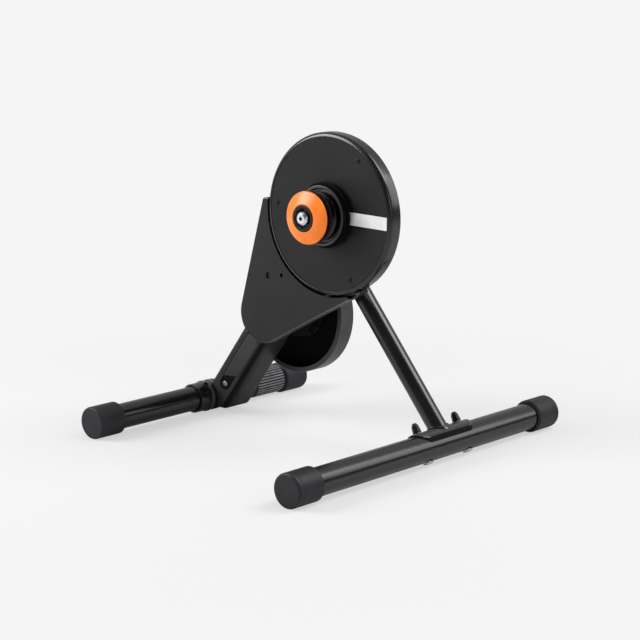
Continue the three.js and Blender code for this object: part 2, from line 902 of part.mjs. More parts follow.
function beamOutline(wall) {
  const low = beamLow + wall;
  const high = beamHigh - wall;
  const shift = wall / Math.sin(beamTilt);
  const corners = [
    [beamAboveShaft, low],
    [beamAboveShaft, high],
    [footAlong(high) + shift, high],
    [footAlong(low) + shift, low],
  ];
  return rounded(corners, [0, 0, beamHeelRadius - wall, beamToeRadius - wall]);
}

function panelOutline(grow) {
  const corners = [
    [-panelTopBelow + grow, beamRise - panelFrontHalf - grow],
    [-panelTopBelow + grow, beamRise + panelRearHalf + grow],
    [barAlong + panelRearAboveBar - grow, beamRise + panelRearHalf + grow],
    [barAlong + panelFrontAboveBar - grow, beamRise - panelFrontHalf - grow],
  ];
  const radius = panelCornerRadius + grow;
  return rounded(corners, [radius, radius, radius, radius]);
}

// the recess runs on below the panel, round its screw
function lobeOutline() {
  const low = barAlong + panelScrewAboveBar - recessLobeRadius;
  const high = barAlong + panelFrontAboveBar;
  const corners = [
    [high, beamRise - recessLobeRadius],
    [high, beamRise + recessLobeRadius],
    [low, beamRise + recessLobeRadius],
    [low, beamRise - recessLobeRadius],
  ];
  const radius = recessLobeRadius - gap;
  return rounded(corners, [0, 0, radius, radius]);
}

function mainBeam() {
  const cavity = [...beamOutline(beamWall)];
  cavity[0] = [beamAboveShaft + overrun, cavity[0][1]];
  cavity[1] = [beamAboveShaft + overrun, cavity[1][1]];
  let body = slab(beamOutline(0), beamNear, beamFar);
  body = body.subtract(slab(cavity, beamNear + beamWall, beamFar - beamWall));
  const ringStart = beamNear + sleeveRingFromBeam - gap;
  const ringEnd = ringStart + sleeveRingWidth + 2 * gap;
  const before = beamNear - overrun;
  const after = beamFar + overrun;
  const screwAlong = barAlong + panelScrewAboveBar;
  const jackAlong = barAlong + jackAboveBar;
  const cuts = [
    rod(sleeveRadius + gap, before, after, barAlong, barAcross),
    rod(sleeveRadius + sleeveRingHeight + gap, ringStart, ringEnd, barAlong, barAcross),
    rod(housingRadius + gap, before, after),
    slab(panelOutline(gap), before, beamNear + panelRecess),
    slab(lobeOutline(), before, beamNear + panelRecess),
    rod(panelScrewShank + gap, before, beamNear + beamWall + overrun, screwAlong, beamRise, tinySides),
    rod(jackRadius + gap, beamFar - beamWall - overrun, after, jackAlong, beamRise, smallSides),
  ];
  cuts.forEach((cut) => {
    body = body.subtract(cut);
  });
  return body;
}

const armAlong = beamAboveShaft + gap;

function armOutline(grow) {
  const lean = Math.atan2(axleAcross - beamRise, axleAlong - armAlong);
  const aside = (armEndHalf + grow) / Math.cos(lean);
  return [
    [armAlong, beamRise - armStartHalf - grow],
    [axleAlong, axleAcross - aside],
    [axleAlong, axleAcross + aside],
    [armAlong, beamRise + armStartHalf + grow],
  ];
}

function upperArm() {
  const cavity = armOutline(-armWall);
  cavity[0] = [armAlong + armWall, cavity[0][1]];
  cavity[3] = [armAlong + armWall, cavity[3][1]];
  const end = beamNear + armDepth;
  const boss = rod(bossRadius + gap, beamNear - overrun, end + overrun, axleAlong, axleAcross);
  return slab(armOutline(0), beamNear, end)
    .subtract(slab(cavity, beamNear + armWall, end - armWall))
    .subtract(boss);
}

function beamPanel() {
  return slab(panelOutline(0), beamNear, beamNear + panelRecess - gap);
}

function panelScrew() {
  const headBack = beamNear + panelRecess - gap;
  const headMiddle = headBack - panelScrewHeadHeight / 2;
  const head = rod(panelScrewHead, headBack - panelScrewHeadHeight, headBack, 0, 0, smallSides);
  return head.add(rod(panelScrewShank, headMiddle, beamNear + beamWall, 0, 0, tinySides));
}

function powerJack() {
  const flangeFront = beamFar + gap;
  return turned([
    [jackBore, flangeFront - jackLength / 2],
    [jackBore, flangeFront + jackFlangeThickness],
    [jackFlangeRadius, flangeFront + jackFlangeThickness],
    [jackFlangeRadius, flangeFront],
    [jackRadius, flangeFront],
    [jackRadius, flangeFront - jackLength],
    [0, flangeFront - jackLength],
    [0, flangeFront - jackLength / 2],
  ], smallSides);
}

// rear bar, about its own axis
function rearLeg(y0, y1, screwY) {
  const body = ring(rearTubeRadius, rearTubeRadius - tubeWall, y0, y1);
  return body.subtract(collarScrewWay(screwY));
}

function collarScrewWay(y) {
  const reach = sleeveRadius + overrun;
  return radialRod(collarScrewShank + gap, sleeveRadius / 2, reach, collarScrewAngle, y, tinySides);
}

const collarScrewRight = -sleeveRight + collarScrewFromEnd;
const collarScrewLeft = sleeveLeft - collarScrewFromEnd;

function socketSleeve() {
  const from = beamNear + sleeveRingFromBeam;
  const to = from + sleeveRingWidth;
  const body = turned([
    [rearTubeRadius + gap, -sleeveRight],
    [sleeveRadius, -sleeveRight],
    [sleeveRadius, from],
    [sleeveRadius + sleeveRingHeight, from],
    [sleeveRadius + sleeveRingHeight, to],
    [sleeveRadius, to],
    [sleeveRadius, sleeveLeft],
    [rearTubeRadius + gap, sleeveLeft],
  ], tubeSides);
  return body.subtract(collarScrewWay(collarScrewRight)).subtract(collarScrewWay(collarScrewLeft));
}

// a round solid along a ray from the bar's axis, between two distances from it
function radialRod(radius, from, to, angle, y, sides) {
  const shape = new THREE.CylinderGeometry(radius, radius, to - from, sides);
  shape.rotateZ(-Math.PI / 2);
  shape.translate((from + to) / 2, 0, 0);
  shape.rotateY(-angle);
  shape.translate(0, y, 0);
  return solid(shape);
}

function collarScrew(y) {
  const seat = sleeveRadius + gap;
  const top = seat + collarScrewHeadHeight;
  const inner = rearTubeRadius - 2 * tubeWall;
  const head = radialRod(collarScrewHeadRadius, seat, top, collarScrewAngle, y, smallSides);
  return head.add(radialRod(collarScrewShank, inner, seat + gap, collarScrewAngle, y, tinySides));
}

function footCap(tubeRadius) {
  return turned([
    [0, 0],
    [capRadius - capBevel, 0],
    [capRadius, capBevel],
    [capRadius, capLength],
    [tubeRadius + gap, capLength],
    [tubeRadius + gap, capEndWall],
    [0, capEndWall],
  ], tubeSides);
}

function gripSleeve() {
  const radius = rearTubeRadius + gap + gripThickness;
  const step = (2 * Math.PI) / ribCount;
  const ribShares = [[0, 0], [0.2, 0.9], [0.4, 0.9], [0.6, 0]];
  const outline = [];
  for (let i = 0; i < ribCount; i += 1) {
    ribShares.forEach(([share, height]) => {
      outline.push(polar(radius + gripRibHeight * height, (i + share) * step));
    });
  }
  const from = sleeveLeft + gripFromSleeve;
  const to = rearBarHalfLength - capLength - gripFromSleeve;
  return slab(outline, from, to).subtract(rod(rearTubeRadius + gap, from - overrun, to + overrun));
}

// front bar, saddle and strut, about the bar's axis
const saddleInner = frontTubeRadius + gap;
const saddleRadius = saddleInner + saddleThickness;
const footBoltRight = strutPlane - footBoltSpacing / 2;
const footBoltLeft = strutPlane + footBoltSpacing / 2;

function frontBar() {
  const end = frontBarHalfLength - capEndWall - gap;
  const reach = frontTubeRadius + overrun;
  let body = ring(frontTubeRadius, frontTubeRadius - tubeWall, -end, end);
  [footBoltRight, footBoltLeft].forEach((y) => {
    body = body.subtract(radialRod(footBoltRadius + gap, -reach, reach, saddleAngle, y, tinySides));
  });
  return body;
}

// a plate wrapped over the bar, its four corners rounded
function footSaddle() {
  const halfWidth = saddleRadius * Math.sin(saddleHalfAngle);
  const corners = [
    [-saddleHalfLength, -halfWidth],
    [saddleHalfLength, -halfWidth],
    [saddleHalfLength, halfWidth],
    [-saddleHalfLength, halfWidth],
  ];
  const outline = rounded(corners, corners.map(() => saddleCorner));
  const reach = saddleHalfLength + overrun;
  const shape = new THREE.Shape(outline.map(([y, side]) => new THREE.Vector2(-side, y)));
  const pad = new THREE.ExtrudeGeometry(shape, { depth: saddleRadius + overrun, bevelEnabled: false });
  pad.rotateY(Math.PI / 2 - saddleAngle);
  pad.translate(0, strutPlane, 0);
  let body = ring(saddleRadius, saddleInner, strutPlane - reach, strutPlane + reach, drumSides)
    .intersect(solid(pad));
  [footBoltRight, footBoltLeft].forEach((y) => {
    const end = saddleRadius + overrun;
    body = body.subtract(radialRod(footBoltRadius + gap, 0, end, saddleAngle, y, tinySides));
  });
  return body;
}

// turns a profile of [radius, distance from the bar's axis] about a ray at an angle
function radialTurned(profile, angle, y) {
  const geometry = fromSolid(turned(profile, smallSides));
  geometry.rotateZ(-Math.PI / 2);
  geometry.rotateY(-angle);
  geometry.translate(0, y, 0);
  return solid(geometry);
}

function footNut(y) {
  const seat = saddleRadius + gap;
  const shoulder = seat + footNutHeight * footNutShoulderShare;
  const crown = seat + footNutHeight;
  const profile = [[footBoltRadius + gap, seat], [footNutRadius, seat], [footNutTopRadius, shoulder]];
  for (let i = 1; i < cornerSteps; i += 1) {
    const [r, rise] = polar(1, (Math.PI / 2) * (i / cornerSteps));
    profile.push([footNutTopRadius * r, shoulder + (crown - shoulder) * rise]);
  }
  profile.push([0, crown]);
  profile.push([0, shoulder]);
  profile.push([footBoltRadius + gap, shoulder]);
  return radialTurned(profile, saddleAngle, y);
}

function footBolt(y) {
  const seat = frontTubeRadius + gap;
  const crown = seat + footBoltHeadHeight;
  const end = saddleRadius + footNutHeight * footNutShoulderShare - gap;
  const head = radialTurned([
    [0, seat],
    [footBoltHeadRadius, seat],
    [footBoltHeadRadius, seat + gap],
    [footBoltHeadRadius / 2, crown - gap],
    [0, crown],
  ], saddleAngle + Math.PI, y);
  return head.add(radialRod(footBoltRadius, -seat - gap, end, saddleAngle, y, tinySides));
}

// the point on the arm that the strut aims at, from the front bar's axis
function strutAim() {
  const lean = Math.atan2(axleAcross - beamRise, axleAlong - armAlong);
  const [x, z] = polar(strutAimDistance, beamTilt + lean);
  return new THREE.Vector3(-x - frontBarAhead, strutPlane, axleHeight - capRadius - z);
}

function strutCylinder(radius, extra) {
  const aim = strutAim();
  const foot = new THREE.Vector3(strutAheadOfBar, strutPlane, 0);
  const way = aim.clone().sub(foot).normalize();
  const to = aim.clone().addScaledVector(way, extra);
  const shape = new THREE.CylinderGeometry(radius, radius, foot.distanceTo(to), tubeSides);
  const turn = new THREE.Quaternion().setFromUnitVectors(new THREE.Vector3(0, 1, 0), way);
  shape.applyQuaternion(turn);
  const middle = foot.add(to).multiplyScalar(0.5);
  shape.translate(middle.x, middle.y, middle.z);
  return solid(shape);
}

function saddleRound(radius) {
  return rod(radius, strutPlane - saddleHalfLength, strutPlane + saddleHalfLength);
}

function strutTube() {
  const armGeometry = fromSolid(slab(armOutline(gap), beamNear - gap, beamNear + armDepth + gap));
  armGeometry.rotateY(-beamTilt);
  armGeometry.translate(shaftX - frontBarAhead, 0, shaftHeight - capRadius);
  const weld = strutCylinder(strutRadius + weldWidth, 0)
    .intersect(saddleRound(saddleRadius + gap + weldHeight));
  return strutCylinder(strutRadius, 0)
    .add(weld)
    .subtract(strutCylinder(strutRadius - tubeWall, overrun))
    .subtract(saddleRound(saddleRadius + gap))
    .subtract(solid(armGeometry));
}

// the trainer
const [idlerX, idlerZ] = idlerPlace();
const [pivotX, pivotZ] = pivotPlace();
const axleGroup = group([
  mesh('drum_shell', drumShell(), satinPaint),
  mesh('drum_face', drumFace(), satinPaint),
  ...faceScrewPlaces().map((spot, i) => mesh(`drum_screw_${i + 1}`, drumScrew(spot), darkSteel)),
  labelStrip(),
  mesh('belt_cover', beltCover(), plastic),
  ...coverBosses().map((spot, i) => mesh(`cover_screw_${i + 1}`, coverScrew(spot), darkSteel)),
  mesh('main_plate', mainPlate(), paint),
  mesh('drive_belt', driveBelt(), rubber),
  mesh('drive_pulley', drivePulley(), darkSteel),
  mesh('hub_bearing', hubBearing(), steel),
  mesh('hub_flange', hubFlange(), darkSteel),
  mesh('hub_cup', hubCup(), satinPaint),
  mesh('freehub_body', freehub(), steel),
  mesh('drive_cog', driveCog(), steel),
  mesh('guard_outer', outerGuard(), orange),
  mesh('guard_inner', innerGuard(), plastic),
  mesh('lock_ring', lockRing(), darkSteel),
  mesh('axle', axle(), steel),
  place(mesh('end_cap_drive', axleEndCap(), steel), 0, -halfSpacing, 0),
  mesh('axle_nut', axleNut(), steel),
  mesh('axle_boss', axleBoss(), paint),
  place(mesh('idler_roller', idlerRoller(), darkSteel), idlerX, 0, idlerZ),
  place(mesh('idler_roller_bolt', idlerRollerBolt(), steel), idlerX, 0, idlerZ),
  place(mesh('idler_arm', idlerArm(), darkSteel), idlerX, 0, idlerZ),
  place(mesh('idler_pivot_bolt', idlerPivotBolt(), steel), pivotX, 0, pivotZ),
]);
const leftEnd = place(mesh('end_cap_left', axleEndCap(), steel), 0, halfSpacing, 0);
leftEnd.rotation.x = Math.PI;
axleGroup.add(leftEnd);
axleGroup.position.z = axleHeight;

const shaftGroup = group([
  mesh('shaft_housing', shaftHousing(), paint),
  mesh('shaft_bearing_near', shaftBearing(beamNear + shaftBearingInset), steel),
  mesh('shaft_bearing_far', shaftBearing(beamFar - shaftBearingInset - shaftBearingWidth), steel),
  mesh('flywheel_shaft', flywheelShaft(), steel),
  mesh('small_pulley', smallPulley(), darkSteel),
  mesh('flywheel', flywheel(), castIron),
  mesh('flywheel_magnets', flywheelMagnets(), darkSteel),
  mesh('shaft_nut', shaftNut(), steel),
  mesh('brake_stator', brakeStator(), copper),
]);
shaftGroup.position.set(shaftX, 0, shaftHeight);

const beamGroup = group([
  mesh('main_beam', mainBeam(), paint),
  mesh('upper_arm', upperArm(), paint),
  mesh('beam_panel', beamPanel(), plastic),
  place(mesh('panel_screw', panelScrew(), darkSteel), barAlong + panelScrewAboveBar, 0, beamRise),
  place(mesh('power_jack', powerJack(), plastic), barAlong + jackAboveBar, 0, beamRise),
]);
beamGroup.position.set(shaftX, 0, shaftHeight);
beamGroup.rotation.y = -beamTilt;

const rearEnd = rearBarHalfLength - capEndWall - gap;
const rearGroup = group([
  mesh('rear_leg_right', rearLeg(-rearEnd, legSplitLeft, collarScrewRight), paint),
  mesh('rear_leg_left', rearLeg(legSplitLeft + gap, rearEnd, collarScrewLeft), paint),
  mesh('socket_sleeve', socketSleeve(), paint),
  mesh('collar_screw_right', collarScrew(collarScrewRight), darkSteel),
  mesh('collar_screw_left', collarScrew(collarScrewLeft), darkSteel),
  mesh('grip_sleeve', gripSleeve(), rubber),
  place(mesh('rear_cap_right', footCap(rearTubeRadius), rubber), 0, -rearBarHalfLength, 0),
]);
const rearLeft = place(mesh('rear_cap_left', footCap(rearTubeRadius), rubber), 0, rearBarHalfLength, 0);
rearLeft.rotation.x = Math.PI;
rearGroup.add(rearLeft);
rearGroup.position.set(-rearBarBehind, 0, capRadius);

const frontGroup = group([
  mesh('front_bar', frontBar(), paint),
  mesh('foot_saddle', footSaddle(), paint),
  mesh('foot_bolt_right', footBolt(footBoltRight), steel),
  mesh('foot_bolt_left', footBolt(footBoltLeft), steel),
  mesh('foot_nut_right', footNut(footBoltRight), darkSteel),
  mesh('foot_nut_left', footNut(footBoltLeft), darkSteel),
  mesh('strut_tube', strutTube(), paint),
  place(mesh('front_cap_right', footCap(frontTubeRadius), rubber), 0, -frontBarHalfLength, 0),
]);
const frontLeft = place(mesh('front_cap_left', footCap(frontTubeRadius), rubber), 0, frontBarHalfLength, 0);
frontLeft.rotation.x = Math.PI;
frontGroup.add(frontLeft);
frontGroup.position.set(frontBarAhead, 0, capRadius);

// the middle of the footprint comes to x = 0
const trainer = group([axleGroup, shaftGroup, beamGroup, rearGroup, frontGroup]);
trainer.position.x = (rearBarBehind - frontBarAhead) / 2;

export default trainer;
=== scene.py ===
import math
import bmesh
import bpy
from mathutils import Matrix, Vector


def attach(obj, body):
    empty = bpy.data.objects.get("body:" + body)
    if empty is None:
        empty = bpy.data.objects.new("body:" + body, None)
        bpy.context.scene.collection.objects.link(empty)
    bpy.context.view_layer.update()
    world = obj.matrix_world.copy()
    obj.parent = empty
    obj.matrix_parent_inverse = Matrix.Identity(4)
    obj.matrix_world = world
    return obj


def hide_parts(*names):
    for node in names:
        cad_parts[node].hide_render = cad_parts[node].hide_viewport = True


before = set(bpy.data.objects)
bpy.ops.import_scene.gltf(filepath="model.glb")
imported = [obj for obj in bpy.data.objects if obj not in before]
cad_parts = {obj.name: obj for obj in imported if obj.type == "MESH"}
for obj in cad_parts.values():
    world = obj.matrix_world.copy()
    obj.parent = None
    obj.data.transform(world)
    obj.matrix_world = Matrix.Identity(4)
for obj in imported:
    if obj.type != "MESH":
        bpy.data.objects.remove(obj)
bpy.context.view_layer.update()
bpy.ops.object.select_all(action="DESELECT")
print("frame loaded")

mm = 0.001
tiny = 0.05  # how close in mm two places count as one
weld = 0.002  # how close in mm two corners are merged
past = 4  # how far in mm a cutter reaches past what it cuts
# the lines that the pieces hang on, as x and z in mm: axle, flywheel shaft and the two bars
axle = (47, 340)
shaft = (-95, 170)
rearBar = (-228, 24.4)
frontBar = (228, 24.4)


# sRGB hex to the linear colour that Blender works in
def linear(hexColour):
    parts = [int(hexColour[i:i + 2], 16) / 255 for i in (1, 3, 5)]
    return [p / 12.92 if p <= 0.04045 else ((p + 0.055) / 1.055) ** 2.4 for p in parts] + [1.0]


# adds a node, sets what is given and links what comes from another node
def addNode(tree, kind, inputs=None, **settings):
    node = tree.nodes.new(kind)
    for name, value in settings.items():
        setattr(node, name, value)
    for name, value in (inputs or {}).items():
        if isinstance(value, bpy.types.NodeSocket):
            tree.links.new(value, node.inputs[name])
        else:
            node.inputs[name].default_value = value
    return node


# a wave texture of scale 1 repeats every 0.314 m
waveLength = 0.314


# a finish whose colour drifts between two tones and whose grain roughens and dents it
def makeFinish(name, recipe):
    material = bpy.data.materials.new(name)
    material.use_nodes = True
    tree = material.node_tree
    tree.nodes.clear()
    place = addNode(tree, "ShaderNodeTexCoord").outputs["Object"]
    cloudSize = 1 / (recipe["cloud"] * mm)
    grainSize = 1 / (recipe["grain"] * mm)
    cloud = addNode(tree, "ShaderNodeTexNoise", {"Vector": place, "Scale": cloudSize, "Detail": 3.0})
    grain = addNode(tree, "ShaderNodeTexNoise", {"Vector": place, "Scale": grainSize, "Detail": 2.0})
    tone = addNode(tree, "ShaderNodeValToRGB", {"Fac": cloud.outputs["Fac"]})
    tone.color_ramp.elements[0].position = 0.35
    tone.color_ramp.elements[0].color = linear(recipe["dark"])
    tone.color_ramp.elements[1].position = 0.65
    tone.color_ramp.elements[1].color = linear(recipe["light"])
    rough = addNode(tree, "ShaderNodeMapRange", {
        "Value": grain.outputs["Fac"],
        "To Min": recipe["rough"] - recipe["spread"],
        "To Max": recipe["rough"] + recipe["spread"],
    })
    height = grain.outputs["Fac"]
    if "lathe" in recipe:
        # fine turned lines: rings about a line along Y through the middle given in mm
        x, z = recipe["lathe"]
        centred = addNode(tree, "ShaderNodeMapping", {"Vector": place, "Location": (-x * mm, 0, -z * mm)})
        rings = addNode(tree, "ShaderNodeTexWave", {
            "Vector": centred.outputs["Vector"],
            "Scale": waveLength / (recipe["pitch"] * mm),
            "Distortion": 0.6,
            "Detail": 1.0,
        }, wave_type="RINGS", rings_direction="Y")
        height = addNode(tree, "ShaderNodeMath", {
            0: rings.outputs["Fac"],
            1: grain.outputs["Fac"],
        }, operation="ADD").outputs["Value"]
    dents = addNode(tree, "ShaderNodeBump", {
        "Height": height,
        "Strength": recipe["bump"],
        "Distance": recipe["depth"] * mm,
    })
    shader = addNode(tree, "ShaderNodeBsdfPrincipled", {
        "Base Color": tone.outputs["Color"],
        "Roughness": rough.outputs["Result"],
        "Normal": dents.outputs["Normal"],
        "Metallic": recipe.get("metal", 0.0),
        "Specular IOR Level": recipe.get("shine", 0.5),
    })
    if "shade" in recipe:
        # painted shade: the colour is darkened between two places along a direction, both edges soft
        direction, rise, fall, least = recipe["shade"]
        along = addNode(tree, "ShaderNodeVectorMath", {0: place, 1: direction}, operation="DOT_PRODUCT")
        sides = [addNode(tree, "ShaderNodeMapRange", {
            "Value": along.outputs["Value"], "From Min": start * mm, "From Max": end * mm,
        }, interpolation_type="SMOOTHSTEP").outputs["Result"] for start, end in (rise, fall)]
        depth = addNode(tree, "ShaderNodeMath", {0: sides[0], 1: sides[1]}, operation="MULTIPLY")
        keep = addNode(tree, "ShaderNodeMapRange", {
            "Value": depth.outputs["Value"], "To Min": 1.0, "To Max": least,
        })
        paintedShadeTone = addNode(tree, "ShaderNodeVectorMath", {
            0: tone.outputs["Color"], "Scale": keep.outputs["Result"],
        }, operation="SCALE")
        tree.links.new(paintedShadeTone.outputs["Vector"], shader.inputs["Base Color"])
    addNode(tree, "ShaderNodeOutputMaterial", {"Surface": shader.outputs["BSDF"]})
    return material


# sizes of cloud, grain, depth and pitch are in mm
finishes = {
    # gloss black powder coat: a smooth skin with faint orange peel, 2.5 mm from dimple to dimple
    "glossPowderCoat": {"dark": "#131315", "light": "#181819", "cloud": 60, "grain": 2.5, "rough": 0.22,
                        "spread": 0.03, "bump": 0.08, "depth": 0.10, "shine": 0.5},
    # satin black powder coat on pressed steel: finer texture, a dull even sheen
    "satinPowderCoat": {"dark": "#161617", "light": "#1C1C1D", "cloud": 80, "grain": 1.2, "rough": 0.42,
                        "spread": 0.05, "bump": 0.12, "depth": 0.08, "shine": 0.21},
    # satin coat over the welded beam, with painted shade on the rounded edge beside its panel; the shade
    # entry holds a direction, where in mm the painted shade begins and ends along it, and the share of the
    # colour that is left
    "beamCoatPaintedShade": {"dark": "#2A2A2C", "light": "#323234", "cloud": 90, "grain": 1.6, "rough": 0.4,
                       "spread": 0.05, "bump": 0.1, "depth": 0.08, "shine": 0.1,
                       "shade": ((0.803, 1, -0.596), (-150, -145), (-116, -138), 0.1)},
    # satin coat painted paler as painted light, on the saddle, the sleeve's ring and the hub's cup
    "paleCoatPaintedLight": {"dark": "#38383A", "light": "#434346", "cloud": 60, "grain": 1.6, "rough": 0.3,
                         "spread": 0.05, "bump": 0.1, "depth": 0.08, "shine": 0.5},
    # moulded ABS with a fine spark eroded grain
    "mouldedAbs": {"dark": "#181819", "light": "#1E1E1F", "cloud": 70, "grain": 0.9, "rough": 0.5,
                   "spread": 0.06, "bump": 0.18, "depth": 0.06, "shine": 0.25},
    # the cover's rounded edges: the same ABS, smooth where the mould was polished, and painted paler as a
    # painted highlight
    "edgeAbsPaintedHighlight": {"dark": "#2E2E2F", "light": "#373738", "cloud": 70, "grain": 0.9, "rough": 0.2,
                    "spread": 0.04, "bump": 0.05, "depth": 0.03, "shine": 0.9},
    # the beam's panel: ABS with a slightly paler satin face
    "panelAbs": {"dark": "#242425", "light": "#2B2B2C", "cloud": 40, "grain": 0.9, "rough": 0.45,
                 "spread": 0.05, "bump": 0.15, "depth": 0.06, "shine": 0.3},
    # soft TPE of the caps: bluish black, dull
    "capRubber": {"dark": "#1A1A1E", "light": "#212126", "cloud": 25, "grain": 0.8, "rough": 0.5,
                  "spread": 0.07, "bump": 0.25, "depth": 0.06, "shine": 0.3},
    # ribbed grip: a blacker, dull rubber between its ribs
    "gripRubber": {"dark": "#0E0E10", "light": "#141416", "cloud": 20, "grain": 0.8, "rough": 0.5,
                   "spread": 0.05, "bump": 0.15, "depth": 0.05, "shine": 0.2},
    # tops of the grip's ribs painted pale as a painted highlight
    "ribTopsPaintedHighlight": {"dark": "#5C5D61", "light": "#77787D", "cloud": 12, "grain": 0.8, "rough": 0.42,
                  "spread": 0.06, "bump": 0.15, "depth": 0.05, "shine": 0.5},
    # belt: coarse matt rubber
    "beltRubber": {"dark": "#121213", "light": "#1B1B1C", "cloud": 20, "grain": 1.0, "rough": 0.7,
                   "spread": 0.08, "bump": 0.3, "depth": 0.08, "shine": 0.35},
    # zinc plated steel fasteners and bearing rings
    "platedSteel": {"dark": "#B3B4B6", "light": "#CFD0D2", "cloud": 12, "grain": 0.6, "rough": 0.28,
                    "spread": 0.06, "bump": 0.08, "depth": 0.03, "metal": 1.0},
    # black oxide on steel screws: dark with a soft metal gleam
    "blackOxide": {"dark": "#19191A", "light": "#242426", "cloud": 10, "grain": 0.5, "rough": 0.38,
                   "spread": 0.06, "bump": 0.1, "depth": 0.03, "metal": 0.6},
    # black nickel on the turned collar: nearly black, but it mirrors a lamp brightly
    "blackNickel": {"dark": "#303032", "light": "#3A3A3C", "cloud": 15, "grain": 0.5, "rough": 0.26,
                    "spread": 0.04, "bump": 0.1, "depth": 0.03, "metal": 1.0, "lathe": axle, "pitch": 0.8},
    # turned steel of the axle: fine lathe rings
    "turnedSteel": {"dark": "#A9AAAC", "light": "#C9CACC", "cloud": 15, "grain": 0.5, "rough": 0.27,
                    "spread": 0.05, "bump": 0.12, "depth": 0.04, "metal": 1.0, "lathe": axle, "pitch": 0.8},
    # machined aluminium end caps
    "machinedAluminium": {"dark": "#D0D1D3", "light": "#E4E5E7", "cloud": 10, "grain": 0.5, "rough": 0.34,
                          "spread": 0.05, "bump": 0.1, "depth": 0.03, "metal": 1.0, "lathe": axle,
                          "pitch": 0.7},
    # painted cast iron flywheel, its rim skimmed on a lathe
    "paintedCastIron": {"dark": "#313134", "light": "#3C3C40", "cloud": 40, "grain": 1.4, "rough": 0.42,
                        "spread": 0.06, "bump": 0.15, "depth": 0.08, "shine": 0.45, "lathe": shaft,
                        "pitch": 1.2},
    # matt, near black inside the flywheel's bowl; the same black is painted shade on the beam's recess floor
    # and the saddle's underside
    "mattBlackAndPaintedShade": {"dark": "#060606", "light": "#0A0A0A", "cloud": 40, "grain": 1.0, "rough": 0.7,
                  "spread": 0.08, "bump": 0.15, "depth": 0.05, "shine": 0.1},
    # orange lacquer on a pressed steel disc
    "orangeLacquer": {"dark": "#F57A22", "light": "#FF872F", "cloud": 30, "grain": 1.5, "rough": 0.3,
                      "spread": 0.05, "bump": 0.06, "depth": 0.05, "shine": 0.4},
    # white polyester film of the bare label
    "labelFilm": {"dark": "#DEDEDE", "light": "#E8E8E8", "cloud": 20, "grain": 0.7, "rough": 0.45,
                  "spread": 0.05, "bump": 0.05, "depth": 0.02, "shine": 0.4},
    # enamelled wire of the brake coils under black varnish, wound 1 mm thick
    "varnishedWinding": {"dark": "#1C120D", "light": "#38241A", "cloud": 6, "grain": 1.0, "rough": 0.4,
                         "spread": 0.08, "bump": 0.6, "depth": 0.3, "metal": 0.4},
    # sintered magnet segments, nickel grey
    "magnetGrey": {"dark": "#2A2B2E", "light": "#38393D", "cloud": 14, "grain": 0.8, "rough": 0.4,
                   "spread": 0.08, "bump": 0.15, "depth": 0.05, "metal": 0.8},
}
finish = {name: makeFinish(name, recipe) for name, recipe in finishes.items()}
print("finishes made")


def activate(piece):
    bpy.ops.object.select_all(action="DESELECT")
    piece.select_set(True)
    bpy.context.view_layer.objects.active = piece


# keeps only the named kind of part that passes the test selected, in edit mode
def pick(piece, kind, test):
    bpy.ops.mesh.select_mode(type={"verts": "VERT", "edges": "EDGE", "faces": "FACE"}[kind])
    bpy.ops.mesh.select_all(action="DESELECT")
    shape = bmesh.from_edit_mesh(piece.data)
    for part in getattr(shape, kind):
        if test(part):
            part.select_set(True)
    shape.select_flush_mode()
    bmesh.update_edit_mesh(piece.data)


# true for a face that looks along +Y
def looksBack(part):
    return part.normal.y > 0.9


def applyModifier(piece, kind, **settings):
    activate(piece)
    added = piece.modifiers.new(kind.lower(), kind)
    for name, value in settings.items():
        setattr(added, name, value)
    bpy.ops.object.modifier_apply(modifier=added.name)


# smooth shading over the curves, and normals that leave the large faces flat
def shadeSmooth(piece, angle=38):
    activate(piece)
    bpy.ops.object.shade_smooth_by_angle(angle=math.radians(angle))
    applyModifier(piece, "WEIGHTED_NORMAL", keep_sharp=True)


# rounds the corners a little, as a real edge is
def softenEdges(piece, width, segments=3, angle=30):
    applyModifier(piece, "BEVEL", width=width * mm, segments=segments, limit_method="ANGLE",
                  angle_limit=math.radians(angle), use_clamp_overlap=False)
    shadeSmooth(piece)


# cuts the shapes of other objects out of a piece and deletes them
def carve(piece, *cutters, operation="DIFFERENCE"):
    for cutter in cutters:
        applyModifier(piece, "BOOLEAN", operation=operation, object=cutter, solver="EXACT")
        bpy.data.objects.remove(cutter, do_unlink=True)


def rename(piece, name):
    piece.name = name
    piece.data.name = name
    return piece


def closeMesh(piece):
    activate(piece)
    bpy.ops.object.mode_set(mode="EDIT")
    bpy.ops.mesh.select_all(action="SELECT")
    bpy.ops.mesh.remove_doubles(threshold=weld * mm)
    bpy.ops.mesh.fill_holes(sides=0)
    bpy.ops.mesh.select_all(action="SELECT")
    bpy.ops.mesh.normals_make_consistent(inside=False)
    bpy.ops.object.mode_set(mode="OBJECT")


# turns a profile of (radius, y) corners in mm about a line along Y, by extruding and scaling a circle
def turnPiece(name, profile, centre=(0, 0), sides=96, edge=0.5, segments=3):
    x, z = centre[0] * mm, centre[1] * mm
    radius, y = profile[0]
    bpy.ops.object.select_all(action="DESELECT")
    bpy.ops.mesh.primitive_circle_add(vertices=sides, radius=radius * mm, location=(x, y * mm, z),
                                      rotation=(math.pi / 2, 0, 0))
    piece = rename(bpy.context.active_object, name)
    bpy.ops.object.transform_apply(location=True, rotation=True, scale=True)
    bpy.ops.object.mode_set(mode="EDIT")
    bpy.ops.mesh.select_mode(type="VERT")
    bpy.ops.mesh.select_all(action="SELECT")
    for nextRadius, nextY in profile[1:]:
        bpy.ops.mesh.extrude_region_move(TRANSFORM_OT_translate={"value": (0, (nextY - y) * mm, 0)})
        factor = nextRadius / radius
        bpy.ops.transform.resize(value=(factor, 1, factor), center_override=(x, nextY * mm, z))
        radius, y = nextRadius, nextY
    bpy.ops.object.mode_set(mode="OBJECT")
    closeMesh(piece)
    if edge:
        softenEdges(piece, edge, segments)
    return piece


